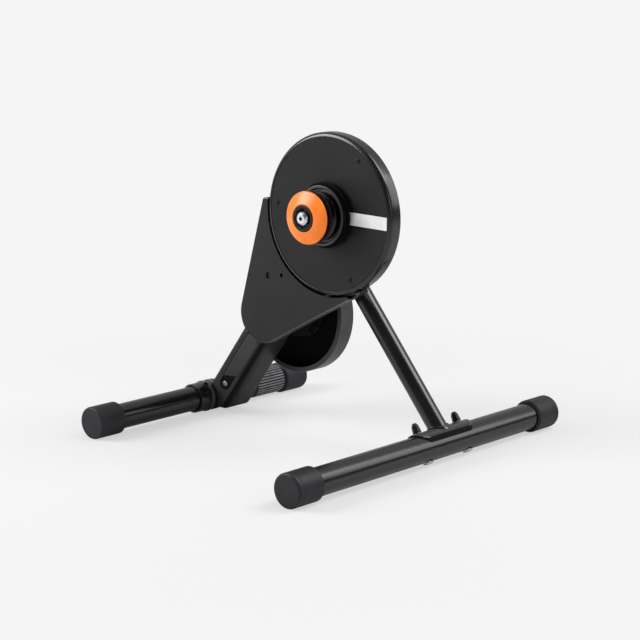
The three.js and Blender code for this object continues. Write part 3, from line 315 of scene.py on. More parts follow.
# a ring is turned from its four corners
def turnRing(name, inner, outer, front, back, centre, sides=96, edge=0.5):
    return turnPiece(name, [(inner, front), (outer, front), (outer, back), (inner, back), (inner, front)],
                     centre, sides, edge)


def polar(radius, angle, centre=(0, 0)):
    return (centre[0] + radius * math.cos(angle), centre[1] + radius * math.sin(angle))


# an outline whose corners are turned into arcs, each by its own radius
def roundCorners(corners, radii, steps):
    outline = []
    for i, (here, radius) in enumerate(zip(corners, radii)):
        if not radius:
            outline.append(here)
            continue
        spot = Vector(here)
        before, after = (Vector(corners[k % len(corners)]) - spot for k in (i - 1, i + 1))
        half = before.angle(after) / 2
        middle = spot + (before.normalized() + after.normalized()).normalized() * radius / math.sin(half)
        start, end = (spot + side.normalized() * radius / math.tan(half) - middle for side in (before, after))
        first = math.atan2(start.y, start.x)
        sweep = (math.atan2(end.y, end.x) - first + math.pi) % math.tau - math.pi
        outline += [polar(radius, first + sweep * step / steps, middle) for step in range(steps + 1)]
    return outline


# a flat outline of (x, z) corners, each rounded by its own radius, extruded from one y to another
def cutPlate(name, corners, front, back, radii=(), steps=10):
    outline = roundCorners(corners, radii, steps) if radii else corners
    bpy.ops.object.select_all(action="DESELECT")
    bpy.ops.mesh.primitive_circle_add(vertices=len(outline), radius=mm, fill_type="NGON")
    piece = rename(bpy.context.active_object, name)
    for vertex, (x, z) in zip(piece.data.vertices, outline):
        vertex.co = (x * mm, front * mm, z * mm)
    bpy.ops.object.mode_set(mode="EDIT")
    bpy.ops.mesh.select_mode(type="VERT")
    bpy.ops.mesh.select_all(action="SELECT")
    bpy.ops.mesh.extrude_region_move(TRANSFORM_OT_translate={"value": (0, (back - front) * mm, 0)})
    bpy.ops.object.mode_set(mode="OBJECT")
    closeMesh(piece)
    return piece


# a plain round bar between two points in mm, used as stock or as a cutter
def roundBar(name, radius, start, end, sides=64, endRadius=None):
    start, end = Vector(start) * mm, Vector(end) * mm
    way = end - start
    bpy.ops.object.select_all(action="DESELECT")
    bpy.ops.mesh.primitive_cone_add(vertices=sides, radius1=radius * mm,
                                    radius2=(radius if endRadius is None else endRadius) * mm,
                                    depth=way.length)
    piece = rename(bpy.context.active_object, name)
    piece.matrix_world = (Matrix.Translation((start + end) / 2)
                          @ way.to_track_quat("Z", "Y").to_matrix().to_4x4())
    bpy.ops.object.transform_apply(location=True, rotation=True, scale=True)
    return piece


# a cutter along Y at (x, z)
def drill(radius, front, back, spot, sides=48):
    return roundBar("cutter", radius, (spot[0], front, spot[1]), (spot[0], back, spot[1]), sides)


# puts a piece in place by a matrix and bakes it into the mesh
def settle(piece, matrix):
    piece.matrix_world = matrix
    activate(piece)
    bpy.ops.object.transform_apply(location=True, rotation=True, scale=True)
    return piece


# stands a piece built along Y on a ray from a bar's axis, at an angle seen from -Y
def standOnRay(piece, bar, angle, y):
    ray = Vector((math.cos(angle), 0, math.sin(angle)))
    turn = ray.to_track_quat("Y", "X").to_matrix().to_4x4()
    return settle(piece, Matrix.Translation(Vector((bar[0], y, bar[1])) * mm) @ turn)


halfTurn = Matrix.Rotation(math.pi, 4, "Z")


def copyPiece(piece, name, matrix=Matrix()):
    twin = piece.copy()
    twin.data = piece.data.copy()
    bpy.context.scene.collection.objects.link(twin)
    return settle(rename(twin, name), matrix)


def shift(x, y, z):
    return Matrix.Translation(Vector((x, y, z)) * mm)


def discard(piece):
    bpy.data.objects.remove(piece, do_unlink=True)


# gives a piece its finish and slot, and makes it ride on a body in place of a node
def fitPiece(piece, look, node, body="frame"):
    piece.data.materials.clear()
    piece.data.materials.append(finish[look])
    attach(piece, body)
    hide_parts(node)
    return piece


# gives a second finish to the faces whose middle, in mm, passes the test
def dressFaces(piece, look, test):
    piece.data.materials.append(finish[look])
    for face in piece.data.polygons:
        if test(face.center / mm):
            face.material_index = len(piece.data.materials) - 1


def fromAxle(spot):
    return (axle[0] + spot[0], axle[1] + spot[1])


def distanceFrom(line, spot):
    return math.hypot(spot.x - line[0], spot.z - line[1])


# drum housing: an open tray with a rolled front edge and a face plate let into it
drum = {
    "radius": 118.5, "front": -7.4, "back": 11.8, "wall": 2.5, "sides": 160,
    "roll": [(112.3, -7.4), (114.6, -7.0), (116.6, -5.9), (117.9, -4.2), (118.5, -1.8)],
    "ledge": (88.3, -4.7, -3.3), "face": (30, 111.7, -6.9, -5.0),
    "beltWay": (112.5, 23.5, -3.2, 14), "dimples": [(59.4, -1.99), (109, 2.39), (109, 1.73)],
    "dimple": (1.5, -6.2), "screws": 3, "screwCircle": 99.7, "screwAngle": 3.054, "screwSeat": -7.2,
}
ledgeRadius, ledgeFront, ledgeBack = drum["ledge"]
seatRadius = drum["roll"][0][0]
shell = turnPiece("drumHousing", [
    *drum["roll"], (drum["radius"], drum["back"]), (drum["radius"] - drum["wall"], drum["back"]),
    (drum["radius"] - drum["wall"], ledgeBack), (ledgeRadius, ledgeBack), (ledgeRadius, ledgeFront),
    (seatRadius, ledgeFront), drum["roll"][0],
], axle, drum["sides"], edge=0.3)
bigLoop, smallLoop, loopFront, loopBack = drum["beltWay"]
beltWay = math.atan2(shaft[1] - axle[1], shaft[0] - axle[0])
beltLean = math.acos((bigLoop - smallLoop) / math.dist(axle, shaft))
carve(shell, cutPlate("cutter", [
    polar(bigLoop, beltWay + beltLean, axle), polar(smallLoop, beltWay + beltLean, shaft),
    polar(smallLoop, beltWay - beltLean, shaft), polar(bigLoop, beltWay - beltLean, axle),
], loopFront, loopBack))
shadeSmooth(shell)
fitPiece(shell, "glossPowderCoat", "drum_shell")

face = turnRing("drumFace", *drum["face"], axle, drum["sides"], edge=0.25)
dimpleRadius, dimpleFloor = drum["dimple"]
for reach, angle in drum["dimples"]:
    carve(face, drill(dimpleRadius, drum["front"] - past, dimpleFloor, polar(reach, angle, axle), sides=20))
shadeSmooth(face)
fitPiece(face, "satinPowderCoat", "drum_face")


# the corners of a button head as shares of its radius and rise, and the share at which its socket ends
button = {"dome": [(1, 0), (1, 0.35), (0.86, 0.8), (0.6, 1)], "socketFloor": 0.3}


# button head screw with a hex socket, pointing along +Y with the underside of its head at y 0
def buttonScrew(name, head, rise, socket, shank, length):
    dome = [(head * wide, -rise * high) for wide, high in button["dome"]]
    piece = turnPiece(name, [(shank, length), (shank, 0), *dome], sides=32, edge=0.1, segments=2)
    carve(piece, drill(socket, -rise - past, -rise * button["socketFloor"], (0, 0), sides=6))
    shadeSmooth(piece)
    return piece


faceScrew = {"head": 3, "rise": 1.5, "socket": 1.25, "shank": 1.3, "length": 2.6}
stock = buttonScrew("screwStock", **faceScrew)
for i in range(drum["screws"]):
    x, z = polar(drum["screwCircle"], drum["screwAngle"] + i * math.tau / drum["screws"], axle)
    piece = copyPiece(stock, "drumScrew" + str(i + 1), shift(x, drum["screwSeat"], z))
    fitPiece(piece, "blackOxide", "drum_screw_" + str(i + 1))
discard(stock)

label = {"length": 70.4, "height": 18.6, "front": -7.7, "back": -7.2, "ahead": 76, "drop": 2.4, "tilt": 0.023,
         "corner": 1.2, "edge": 0.08}
halfLength, halfHeight = label["length"] / 2, label["height"] / 2
labelPlate = cutPlate("labelStrip", [
    (-halfLength, -halfHeight), (halfLength, -halfHeight),
    (halfLength, halfHeight), (-halfLength, halfHeight),
], label["front"], label["back"], [label["corner"]] * 4, steps=5)
labelX, labelZ = fromAxle((label["ahead"], -label["drop"]))
settle(labelPlate, shift(labelX, 0, labelZ) @ Matrix.Rotation(label["tilt"], 4, "Y"))
softenEdges(labelPlate, label["edge"], segments=2)
fitPiece(labelPlate, "labelFilm", "label_strip")
print("drum housing made")

# belt cover: a moulded tray, its outline running from the round corner by the shaft to the tip ahead
# its holes and notch are x and z from the axle, and a radius
cover = {
    "front": -5, "back": 12, "skin": 1.9, "corner": 44, "cornerSpot": (-135.1, -164.7), "leftAngle": 1.2968,
    "lowerAngle": 0.4974, "drumGap": 3, "top": (-131, 13.1), "topCorner": 5, "tipAhead": 58,
    "inner": [(46, -60), (-100, 13.1)], "roller": (-120.6, -103.4, 5.3), "pivot": (-94.4, -100.3, 3),
    "pocket": [(28.6, -113.8), (40.6, -120.2), (54, -111.6)], "pocketFloor": 1.9,
    "notch": (-162.6, -196.6, 2.4), "holeFloor": 0, "edge": 1.3,
}
plate = {
    "front": 12.3, "back": 15.7, "inset": 1, "shaftHole": 8, "axleHole": 8.8, "pivotHole": 2.9, "edge": 0.4,
}


# the cover's outline, and inside it by some mm the plate's
def coverOutline(shrink):
    halfAngle = (cover["leftAngle"] - cover["lowerAngle"]) / 2
    x, z = polar((cover["corner"] - shrink) / math.sin(halfAngle), cover["lowerAngle"] + halfAngle)
    start = (cover["cornerSpot"][0] - x, cover["cornerSpot"][1] - z)
    tip = (cover["tipAhead"], start[1] + (cover["tipAhead"] - start[0]) * math.tan(cover["lowerAngle"]))
    top = (cover["top"][0] + shrink, cover["top"][1] - shrink)
    return [fromAxle(spot) for spot in (start, tip, *cover["inner"], top)]


coverShell = cutPlate("beltCover", coverOutline(0), cover["front"], cover["back"],
                      [cover["corner"], 0, 0, 0, cover["topCorner"]], steps=24)
activate(coverShell)
bpy.ops.object.mode_set(mode="EDIT")
pick(coverShell, "edges", lambda edge: all(end.co.y / mm < cover["front"] + tiny for end in edge.verts))
bpy.ops.mesh.bevel(offset=cover["edge"] * mm, segments=3, affect="EDGES")
pick(coverShell, "faces", looksBack)
bpy.ops.mesh.inset(thickness=cover["skin"] * mm)
bpy.ops.mesh.extrude_region_move(TRANSFORM_OT_translate={
    "value": (0, (cover["front"] + cover["skin"] - cover["back"]) * mm, 0)})
bpy.ops.object.mode_set(mode="OBJECT")
before, after = cover["front"] - past, cover["back"] + past
carve(coverShell,
      drill(drum["radius"] + cover["drumGap"], before, after, axle, sides=192),
      drill(cover["roller"][2], before, cover["holeFloor"], fromAxle(cover["roller"]), sides=40),
      drill(cover["pivot"][2], before, cover["holeFloor"], fromAxle(cover["pivot"]), sides=32),
      drill(cover["notch"][2], before, after, fromAxle(cover["notch"]), sides=24),
      cutPlate("cutter", [fromAxle(spot) for spot in cover["pocket"]], before, cover["pocketFloor"]))
shadeSmooth(coverShell)
fitPiece(coverShell, "mouldedAbs", "belt_cover")
# painted highlight: the cover's rounded front edge is painted paler
dressFaces(coverShell, "edgeAbsPaintedHighlight", lambda spot: tiny < spot.y - cover["front"] < cover["edge"])

backPlate = cutPlate("mainPlate", coverOutline(plate["inset"]), plate["front"], plate["back"],
                     [cover["corner"] - plate["inset"], 0, 0, 0, cover["topCorner"] - plate["inset"]],
                     steps=24)
softenEdges(backPlate, plate["edge"])
plateRadius = drum["radius"] - plate["inset"]
plateDisc = turnPiece("cutter", [(plateRadius, plate["front"]), (plateRadius, plate["back"])],
                      axle, sides=192, edge=plate["edge"])
carve(backPlate, plateDisc, operation="UNION")
before, after = plate["front"] - past, plate["back"] + past
carve(backPlate,
      drill(plate["axleHole"], before, after, axle),
      drill(plate["shaftHole"], before, after, shaft),
      drill(plate["pivotHole"], before, after, fromAxle(cover["pivot"]), sides=24))
shadeSmooth(backPlate)
fitPiece(backPlate, "glossPowderCoat", "main_plate")
print("cover made")

# hub: a thin flange, a dished ring, the freehub with its two discs and the lock ring
hub = {
    "bore": 8.85,
    "flange": [(48, -15.5), (48, -12.3), (25.5, -12.3), (25.5, -3)],
    "cup": [(38.6, -19.8), (40, -24), (43.5, -24), (45, -21), (45, -15.8)], "cupRim": 44,
    "collar": [(16.1, -53), (16.1, -33), (31.5, -33), (36, -29.6), (36, -20.1)],
    "spline": [(15.4, -2.5), (17.4, -2.1), (17.4, 2.1), (15.4, 2.5)], "splines": 9, "splineEnds": (-53, -33),
    "firstSpline": 0.75,
    "outerGuard": [(17.7, -53), (19.7, -53), (19.7, -60.3), (21.2, -60.3), (29, -57.9), (37.6, -53.4),
                   (38.3, -52.4), (38.3, -50.6), (17.7, -50.6), (17.7, -53)],
    "innerGuard": (17.7, 38.3, -42.6, -40.2),
    "lockRing": [(13, -53.3), (13, -58.5), (14.6, -60.7), (18.2, -60.7), (19.4, -59.8), (19.4, -53.3),
                 (13, -53.3)],
    "notches": 8, "notch": (13, 2.1, -62, -56.5),
}


# closes a profile onto the bore, from its first corner's y to its last one's
def boredProfile(profile):
    bore = hub["bore"]
    return [(bore, profile[0][1]), *profile, (bore, profile[-1][1]), (bore, profile[0][1])]


flange = turnPiece("hubFlange", boredProfile(hub["flange"]), axle, sides=128, edge=0.5)
fitPiece(flange, "mattBlackAndPaintedShade", "hub_flange", "pulley")
cup = turnPiece("hubCup", boredProfile(hub["cup"]), axle, sides=128, edge=0.5)
# painted light: the hub's cup is painted pale
fitPiece(cup, "paleCoatPaintedLight", "hub_cup", "pulley")
dressFaces(cup, "mattBlackAndPaintedShade", lambda spot: distanceFrom(axle, spot) > hub["cupRim"])

freehub = turnPiece("freehubBody", boredProfile(hub["collar"]), axle, sides=128, edge=0.4)
spline = cutPlate("spline", hub["spline"], *hub["splineEnds"])
for i in range(hub["splines"]):
    turn = Matrix.Rotation(-(hub["firstSpline"] + i) * math.tau / hub["splines"], 4, "Y")
    carve(freehub, copyPiece(spline, "tooth", shift(axle[0], 0, axle[1]) @ turn), operation="UNION")
discard(spline)
shadeSmooth(freehub)
fitPiece(freehub, "blackNickel", "freehub_body", "freehub")

outerGuard = turnPiece("guardOuter", hub["outerGuard"], axle, sides=128, edge=0.3)
fitPiece(outerGuard, "orangeLacquer", "guard_outer", "freehub")
innerGuard = turnRing("guardInner", *hub["innerGuard"], axle, sides=128, edge=0.6)
fitPiece(innerGuard, "satinPowderCoat", "guard_inner", "freehub")

lockRing = turnPiece("lockRing", hub["lockRing"], axle, sides=96, edge=0.3)
notchReach, notchRadius, notchFront, notchBack = hub["notch"]
for i in range(hub["notches"]):
    spot = polar(notchReach, i * math.tau / hub["notches"], axle)
    carve(lockRing, drill(notchRadius, notchFront, notchBack, spot, sides=20))
shadeSmooth(lockRing)
fitPiece(lockRing, "satinPowderCoat", "lock_ring", "freehub")

# axle ends: silver caps with a small bore, and the nut and boss on the left side
axleEnds = {
    "cap": [(2.7, -65), (7, -65), (9.4, -62.6), (10, -61.2), (10, -58.3), (2.7, -58.3), (2.7, -65)],
    "nut": (15, 54.3, 57.7), "nutBore": 8.8, "nutEdge": 0.5, "boss": (8.8, 26, 16, 54),
}
stock = turnPiece("capStock", axleEnds["cap"], sides=64, edge=0.25)
onAxle = shift(axle[0], 0, axle[1])
driveEnd = copyPiece(stock, "endCapDrive", onAxle)
fitPiece(driveEnd, "machinedAluminium", "end_cap_drive")
leftEnd = copyPiece(stock, "endCapLeft", onAxle @ halfTurn)
fitPiece(leftEnd, "machinedAluminium", "end_cap_left")
discard(stock)


def hexNut(name, radius, front, back, bore, spot):
    nut = rename(drill(radius, front, back, spot, sides=6), name)
    carve(nut, drill(bore, front - past, back + past, spot))
    softenEdges(nut, axleEnds["nutEdge"])
    return nut


axleNut = hexNut("axleNut", *axleEnds["nut"], axleEnds["nutBore"], axle)
fitPiece(axleNut, "platedSteel", "axle_nut")
boss = turnRing("axleBoss", *axleEnds["boss"], axle, edge=1.2)
fitPiece(boss, "glossPowderCoat", "axle_boss")
print("hub made")

# flywheel: a deep bowl open to the drive side, with magnets on its floor
wheel = {
    "radius": 96.8, "rim": 89, "hub": 14, "front": 74, "hubFront": 76, "web": 94, "back": 102.6, "bore": 6.3,
    "blackOver": 0.5,
    "backRing": [(86, 102.6), (84, 101.2), (38, 101.2), (35, 102.6)],
    "magnets": (18, 44, 90.7, 93.7), "magnetCount": 12, "magnetSlot": (0.5, 92), "nut": (9.5, 102.9, 108.9),
}
flywheel = turnPiece("flywheel", [
    (wheel["bore"], wheel["hubFront"]), (wheel["hub"], wheel["hubFront"]), (wheel["hub"], wheel["web"]),
    (wheel["rim"], wheel["web"]), (wheel["rim"], wheel["front"]), (wheel["radius"], wheel["front"]),
    (wheel["radius"], wheel["back"]), *wheel["backRing"], (wheel["bore"], wheel["back"]),
    (wheel["bore"], wheel["hubFront"]),
], shaft, sides=192, edge=0.9)
fitPiece(flywheel, "paintedCastIron", "flywheel", "flywheel")
dressFaces(flywheel, "mattBlackAndPaintedShade", lambda spot: (
    spot.y < wheel["web"] + wheel["blackOver"]
    and distanceFrom(shaft, spot) < wheel["rim"] + wheel["blackOver"]))
magnets = turnRing("flywheelMagnets", *wheel["magnets"], shaft, edge=0.3)
slotHalf, slotFloor = wheel["magnetSlot"]
magnetInner, magnetOuter, magnetFront, _ = wheel["magnets"]
for i in range(wheel["magnetCount"]):
    angle = i * math.tau / wheel["magnetCount"]
    near = Vector(polar(magnetInner - past, angle, shaft))
    far = Vector(polar(magnetOuter + past, angle, shaft))
    aside = Vector(polar(slotHalf, angle + math.pi / 2))
    carve(magnets, cutPlate("cutter", [near - aside, far - aside, far + aside, near + aside],
                            magnetFront - past, slotFloor))
shadeSmooth(magnets)
fitPiece(magnets, "magnetGrey", "flywheel_magnets", "flywheel")
shaftNut = hexNut("shaftNut", *wheel["nut"], wheel["bore"], shaft)
fitPiece(shaftNut, "platedSteel", "shaft_nut", "flywheel")

# brake: six wound poles on a plate bolted to the back of the beam
brake = {
    "plate": (16, 41, 72.3, 75.3), "poleRing": 29.5, "poles": 6, "firstAngle": 0.932,
    "pole": [(3, 74.4), (3, 89.3), (5, 89.3), (5, 88.4), (8, 88.4), (8.5, 87.6), (8.5, 77.2), (8, 76.4),
             (8, 74.4), (3, 74.4)],
    "winding": (76.5, 88),
}
stator = turnRing("brakeStator", *brake["plate"], shaft, edge=0.3)
pole = turnPiece("pole", brake["pole"], sides=40, edge=0.2, segments=2)
for i in range(brake["poles"]):
    x, z = polar(brake["poleRing"], brake["firstAngle"] + i * math.tau / brake["poles"], shaft)
    carve(stator, copyPiece(pole, "pole", shift(x, 0, z)), operation="UNION")
discard(pole)
shadeSmooth(stator)
fitPiece(stator, "blackOxide", "brake_stator")
windingFront, windingBack = brake["winding"]
dressFaces(stator, "varnishedWinding", lambda spot: windingFront < spot.y < windingBack)
print("flywheel made")

# beam from the shaft down to the rear bar, seen along Y; along runs up it and across to its rear
beam = {
    "angle": 0.932, "low": -20.7, "high": 26.3, "middle": 2.8, "top": 60, "front": 16, "back": 72,
    "foot": 7.5, "heel": 16, "toe": 9, "edge": 6.5, "holeEdge": 0.4, "sleeveHole": 23,
    "ringHole": (24.3, 19.7, 31.3), "housingHole": 19.3, "housing": (16, 19), "recess": 17.4, "lobe": 10.5,
    "lobeCorner": 10.2, "screwAlong": -152.9, "screwSeat": 17.1, "screwHole": (2.3, 24),
    "jackAlong": -149.9, "jackHole": (5.8, 60),
}
panelSize = {
    "top": -50, "rearEnd": -145.4, "frontEnd": -123.9, "front": -12.2, "rear": 14.3, "corner": 2.4,
    "gap": 0.3, "y": (16, 17.1), "edge": 0.6, "trim": -0.4,
}


# a place on the beam as x and z
def beamSpot(along, across):
    c, s = math.cos(beam["angle"]), math.sin(beam["angle"])
    return (shaft[0] + along * c - across * s, shaft[1] + along * s + across * c)


# where an edge of the beam comes down to its foot's height
def footAlong(across):
    return (beam["foot"] - shaft[1] - across * math.cos(beam["angle"])) / math.sin(beam["angle"])


# the panel's outline, grown by some mm for its recess
def panelOutline(grow):
    top, front, rear = panelSize["top"] + grow, panelSize["front"] - grow, panelSize["rear"] + grow
    return [beamSpot(top, front), beamSpot(top, rear), beamSpot(panelSize["rearEnd"] - grow, rear),
            beamSpot(panelSize["frontEnd"] - grow, front)]


mainBeam = cutPlate("mainBeam", [
    beamSpot(beam["top"], beam["low"]), beamSpot(beam["top"], beam["high"]),
    beamSpot(footAlong(beam["high"]), beam["high"]), beamSpot(footAlong(beam["low"]), beam["low"]),
], beam["front"], beam["back"], [0, 0, beam["heel"], beam["toe"]], steps=16)
applyModifier(mainBeam, "BEVEL", width=beam["edge"] * mm, segments=8, limit_method="ANGLE",
              angle_limit=math.radians(60), use_clamp_overlap=False)
screwSpot = beamSpot(beam["screwAlong"], beam["middle"])
jackSpot = beamSpot(beam["jackAlong"], beam["middle"])
screwRadius, screwFloor = beam["screwHole"]
jackRadius, jackFloor = beam["jackHole"]
before, after = beam["front"] - past, beam["back"] + past
lobeLow, lobeHigh = beam["screwAlong"] - beam["lobe"], panelSize["frontEnd"]
lobe = cutPlate("cutter", [
    beamSpot(lobeHigh, beam["middle"] - beam["lobe"]), beamSpot(lobeHigh, beam["middle"] + beam["lobe"]),
    beamSpot(lobeLow, beam["middle"] + beam["lobe"]), beamSpot(lobeLow, beam["middle"] - beam["lobe"]),
], before, beam["recess"], [0, 0, beam["lobeCorner"], beam["lobeCorner"]])
carve(mainBeam,
      drill(beam["sleeveHole"], before, after, rearBar, sides=96),
      drill(*beam["ringHole"], rearBar, sides=96),
      drill(beam["housingHole"], before, after, shaft, sides=64),
      cutPlate("cutter", panelOutline(panelSize["gap"]), before, beam["recess"],
               [panelSize["corner"] + panelSize["gap"]] * 4, steps=8),
      lobe,
      drill(screwRadius, before, screwFloor, screwSpot, sides=24),
      drill(jackRadius, jackFloor, after, jackSpot, sides=32))
softenEdges(mainBeam, beam["holeEdge"], segments=2, angle=50)
# the beam's coat carries a band of painted shade along its rounded edge beside the panel
fitPiece(mainBeam, "beamCoatPaintedShade", "main_beam")
# painted shade: the recess floor round the panel and the screw is painted near black
dressFaces(mainBeam, "mattBlackAndPaintedShade", lambda spot: abs(spot.y - beam["recess"]) < tiny)

panel = cutPlate("beamPanel", panelOutline(panelSize["trim"]), *panelSize["y"], [panelSize["corner"]] * 4,
                 steps=8)
softenEdges(panel, panelSize["edge"], segments=2)
fitPiece(panel, "panelAbs", "beam_panel")
panelScrewSize = {"head": 4.4, "rise": 2, "socket": 2, "shank": 2, "length": 1.9}
panelScrew = buttonScrew("panelScrew", **panelScrewSize)
settle(panelScrew, shift(screwSpot[0], beam["screwSeat"], screwSpot[1]))
fitPiece(panelScrew, "platedSteel", "panel_screw")

housing = turnRing("shaftHousing", *beam["housing"], beam["front"], beam["back"], shaft, edge=0.6)
fitPiece(housing, "glossPowderCoat", "shaft_housing")

# arm from the top of the beam to the axle boss
arm = {"start": 60.3, "half": 20, "back": 54, "edge": 4, "bossHole": 26.3}
axleTurn = math.atan2(axle[1] - shaft[1], axle[0] - shaft[0]) - beam["angle"]
axleAlong, axleAcross = polar(math.dist(axle, shaft), axleTurn)
armLean = math.atan2(axleAcross - beam["middle"], axleAlong - arm["start"])
armAside = arm["half"] / math.cos(armLean)
upperArm = cutPlate("upperArm", [
    beamSpot(arm["start"], beam["middle"] - arm["half"]), beamSpot(axleAlong, axleAcross - armAside),
    beamSpot(axleAlong, axleAcross + armAside), beamSpot(arm["start"], beam["middle"] + arm["half"]),
], beam["front"], arm["back"])
softenEdges(upperArm, arm["edge"], segments=5)
carve(upperArm, drill(arm["bossHole"], beam["front"] - past, arm["back"] + past, axle, sides=96))
shadeSmooth(upperArm)
fitPiece(upperArm, "beamCoatPaintedShade", "upper_arm")
print("beam made")

# rear bar: two legs in a sleeve, a ribbed grip and a rubber cap on each end
bars = {
    "tubeWall": 2, "tubeEdge": 0.4, "rearTube": 19, "rearRight": (-218.7, 38), "rearLeft": (38.3, 218.7),
    "frontTube": 20, "frontEnds": (-283.7, 283.7), "rearHalf": 225, "frontHalf": 290,
}
sleeveSize = {
    "profile": [(19.3, -16.5), (22.7, -16.5), (22.7, 6), (24.2, 6), (24.2, 11), (22.7, 11), (22.7, 20),
                (24, 20), (24, 31), (22.7, 31), (22.7, 96), (19.3, 96), (19.3, -16.5)],
    "edge": 0.6, "ringRadius": 23, "ringBack": 12, "screws": {"Right": -5, "Left": 84.5}, "screwAngle": 0.89,
    "screw": [(2.6, 15), (2.6, 23), (4.6, 23), (4.6, 31.4), (2.4, 31.4), (2.4, 28.6), (1.2, 28)],
}


def barTube(name, node, radius, right, left, centre):
    tube = turnRing(name, radius - bars["tubeWall"], radius, right, left, centre, edge=bars["tubeEdge"])
    return fitPiece(tube, "glossPowderCoat", node)


barTube("rearLegRight", "rear_leg_right", bars["rearTube"], *bars["rearRight"], rearBar)
barTube("rearLegLeft", "rear_leg_left", bars["rearTube"], *bars["rearLeft"], rearBar)
sleeve = turnPiece("socketSleeve", sleeveSize["profile"], rearBar, edge=sleeveSize["edge"])
fitPiece(sleeve, "glossPowderCoat", "socket_sleeve")
# painted light: the sleeve's ring is painted pale
dressFaces(sleeve, "paleCoatPaintedLight", lambda spot: (
    distanceFrom(rearBar, spot) > sleeveSize["ringRadius"] and spot.y < sleeveSize["ringBack"]))
stock = turnPiece("screwStock", sleeveSize["screw"], sides=32, edge=0.3, segments=2)
for side, y in sleeveSize["screws"].items():
    collarScrew = standOnRay(copyPiece(stock, "collarScrew" + side), rearBar, sleeveSize["screwAngle"], y)
    fitPiece(collarScrew, "blackOxide", "collar_screw_" + side.lower())
discard(stock)

gripSize = {
    "inner": 19.3, "outer": 20.8, "ends": (98, 173), "ribs": 30, "firstRib": 0.3, "ribCircle": 20.4,
    "ribRadius": 1.45, "ribEnds": (111, 172.2), "ribTop": 21.4,
}
grip = turnRing("gripSleeve", gripSize["inner"], gripSize["outer"], *gripSize["ends"], rearBar, edge=0.3)
for i in range(gripSize["ribs"]):
    spot = polar(gripSize["ribCircle"], (i + gripSize["firstRib"]) * math.tau / gripSize["ribs"], rearBar)
    rib = drill(gripSize["ribRadius"], *gripSize["ribEnds"], spot, sides=16)
    carve(grip, rib, operation="UNION")
shadeSmooth(grip)
fitPiece(grip, "gripRubber", "grip_sleeve")
# painted highlight: the rib tops are painted pale
dressFaces(grip, "ribTopsPaintedHighlight", lambda spot: distanceFrom(rearBar, spot) > gripSize["ribTop"])

# a moulded cap as (radius, distance from its end): rounded rim, a shallow line round it, a sloping mouth
capSize = {
    "outside": [(17.5, 0.4), (21.2, 0), (22.6, 0.4), (23.9, 1.6), (24.4, 3.2), (24.4, 8.4), (24.1, 8.8),
                (24.1, 9.4), (24.4, 9.8), (24.4, 47.2)],
    "mouthLip": 1.4, "length": 50, "endWall": 6, "endMiddle": 2, "slack": 0.3,
}


# turns one cap about the origin, and puts a copy of it on each end of a bar
def capBar(place, tube, half, bar):
    mouth = tube + capSize["slack"]
    stock = turnPiece("capStock", [
        *capSize["outside"], (mouth + capSize["mouthLip"], capSize["length"]), (mouth, capSize["length"]),
        (mouth, capSize["endWall"]), (capSize["endMiddle"], capSize["endWall"]),
    ], sides=96, edge=0.25, segments=2)
    right = copyPiece(stock, place + "CapRight", shift(bar[0], -half, bar[1]))
    fitPiece(right, "capRubber", place + "_cap_right")
    left = copyPiece(stock, place + "CapLeft", shift(bar[0], half, bar[1]) @ halfTurn)
    fitPiece(left, "capRubber", place + "_cap_left")
    discard(stock)


capBar("rear", bars["rearTube"], bars["rearHalf"], rearBar)
capBar("front", bars["frontTube"], bars["frontHalf"], frontBar)
print("rear bar and caps made")

# front bar with the saddle welded to the strut, and its two bolts
barTube("frontBar", "front_bar", bars["frontTube"], *bars["frontEnds"], frontBar)
# nut: its radius at the seat and at the shoulder, and their places on the ray; dome: steps of rise and shrink
foot = {
    "angle": 2.06, "halfAngle": 1.04, "inner": 20.3, "outer": 23.3, "middle": 38, "half": 60, "corner": 15,
    "edge": 1.4, "bolts": {"Right": -7, "Left": 83}, "nut": (6.9, 5.5, 23.6, 34.4),
    "dome": [(0.0, 0.86), (1.6, 0.94), (1.3, 0.84), (0.8, 0.66), (0.3, 0.4)], "nutEdge": 0.6,
    "bolt": [(4, 31), (4, -20.3), (8, -20.3), (7.6, -21.3), (6, -22.3), (3.4, -22.9)],
}
halfWide = foot["outer"] * math.sin(foot["halfAngle"])
saddle = turnRing("footSaddle", foot["inner"], foot["outer"], foot["middle"] - foot["half"] - past,
                  foot["middle"] + foot["half"] + past, frontBar, sides=160, edge=0)
pad = cutPlate("pad", [(-halfWide, -foot["half"]), (halfWide, -foot["half"]), (halfWide, foot["half"]),
                       (-halfWide, foot["half"])], 0, foot["outer"] + past, [foot["corner"]] * 4, steps=12)
carve(saddle, standOnRay(pad, frontBar, foot["angle"], foot["middle"]), operation="INTERSECT")
softenEdges(saddle, foot["edge"], segments=4)
# painted light: the saddle is painted paler than the bar it sits on
fitPiece(saddle, "paleCoatPaintedLight", "foot_saddle")
# painted shade: the saddle's underside and lower edge next to the bar are painted near black
dressFaces(saddle, "mattBlackAndPaintedShade", lambda spot: distanceFrom(frontBar, spot) < foot["inner"] + foot["edge"])

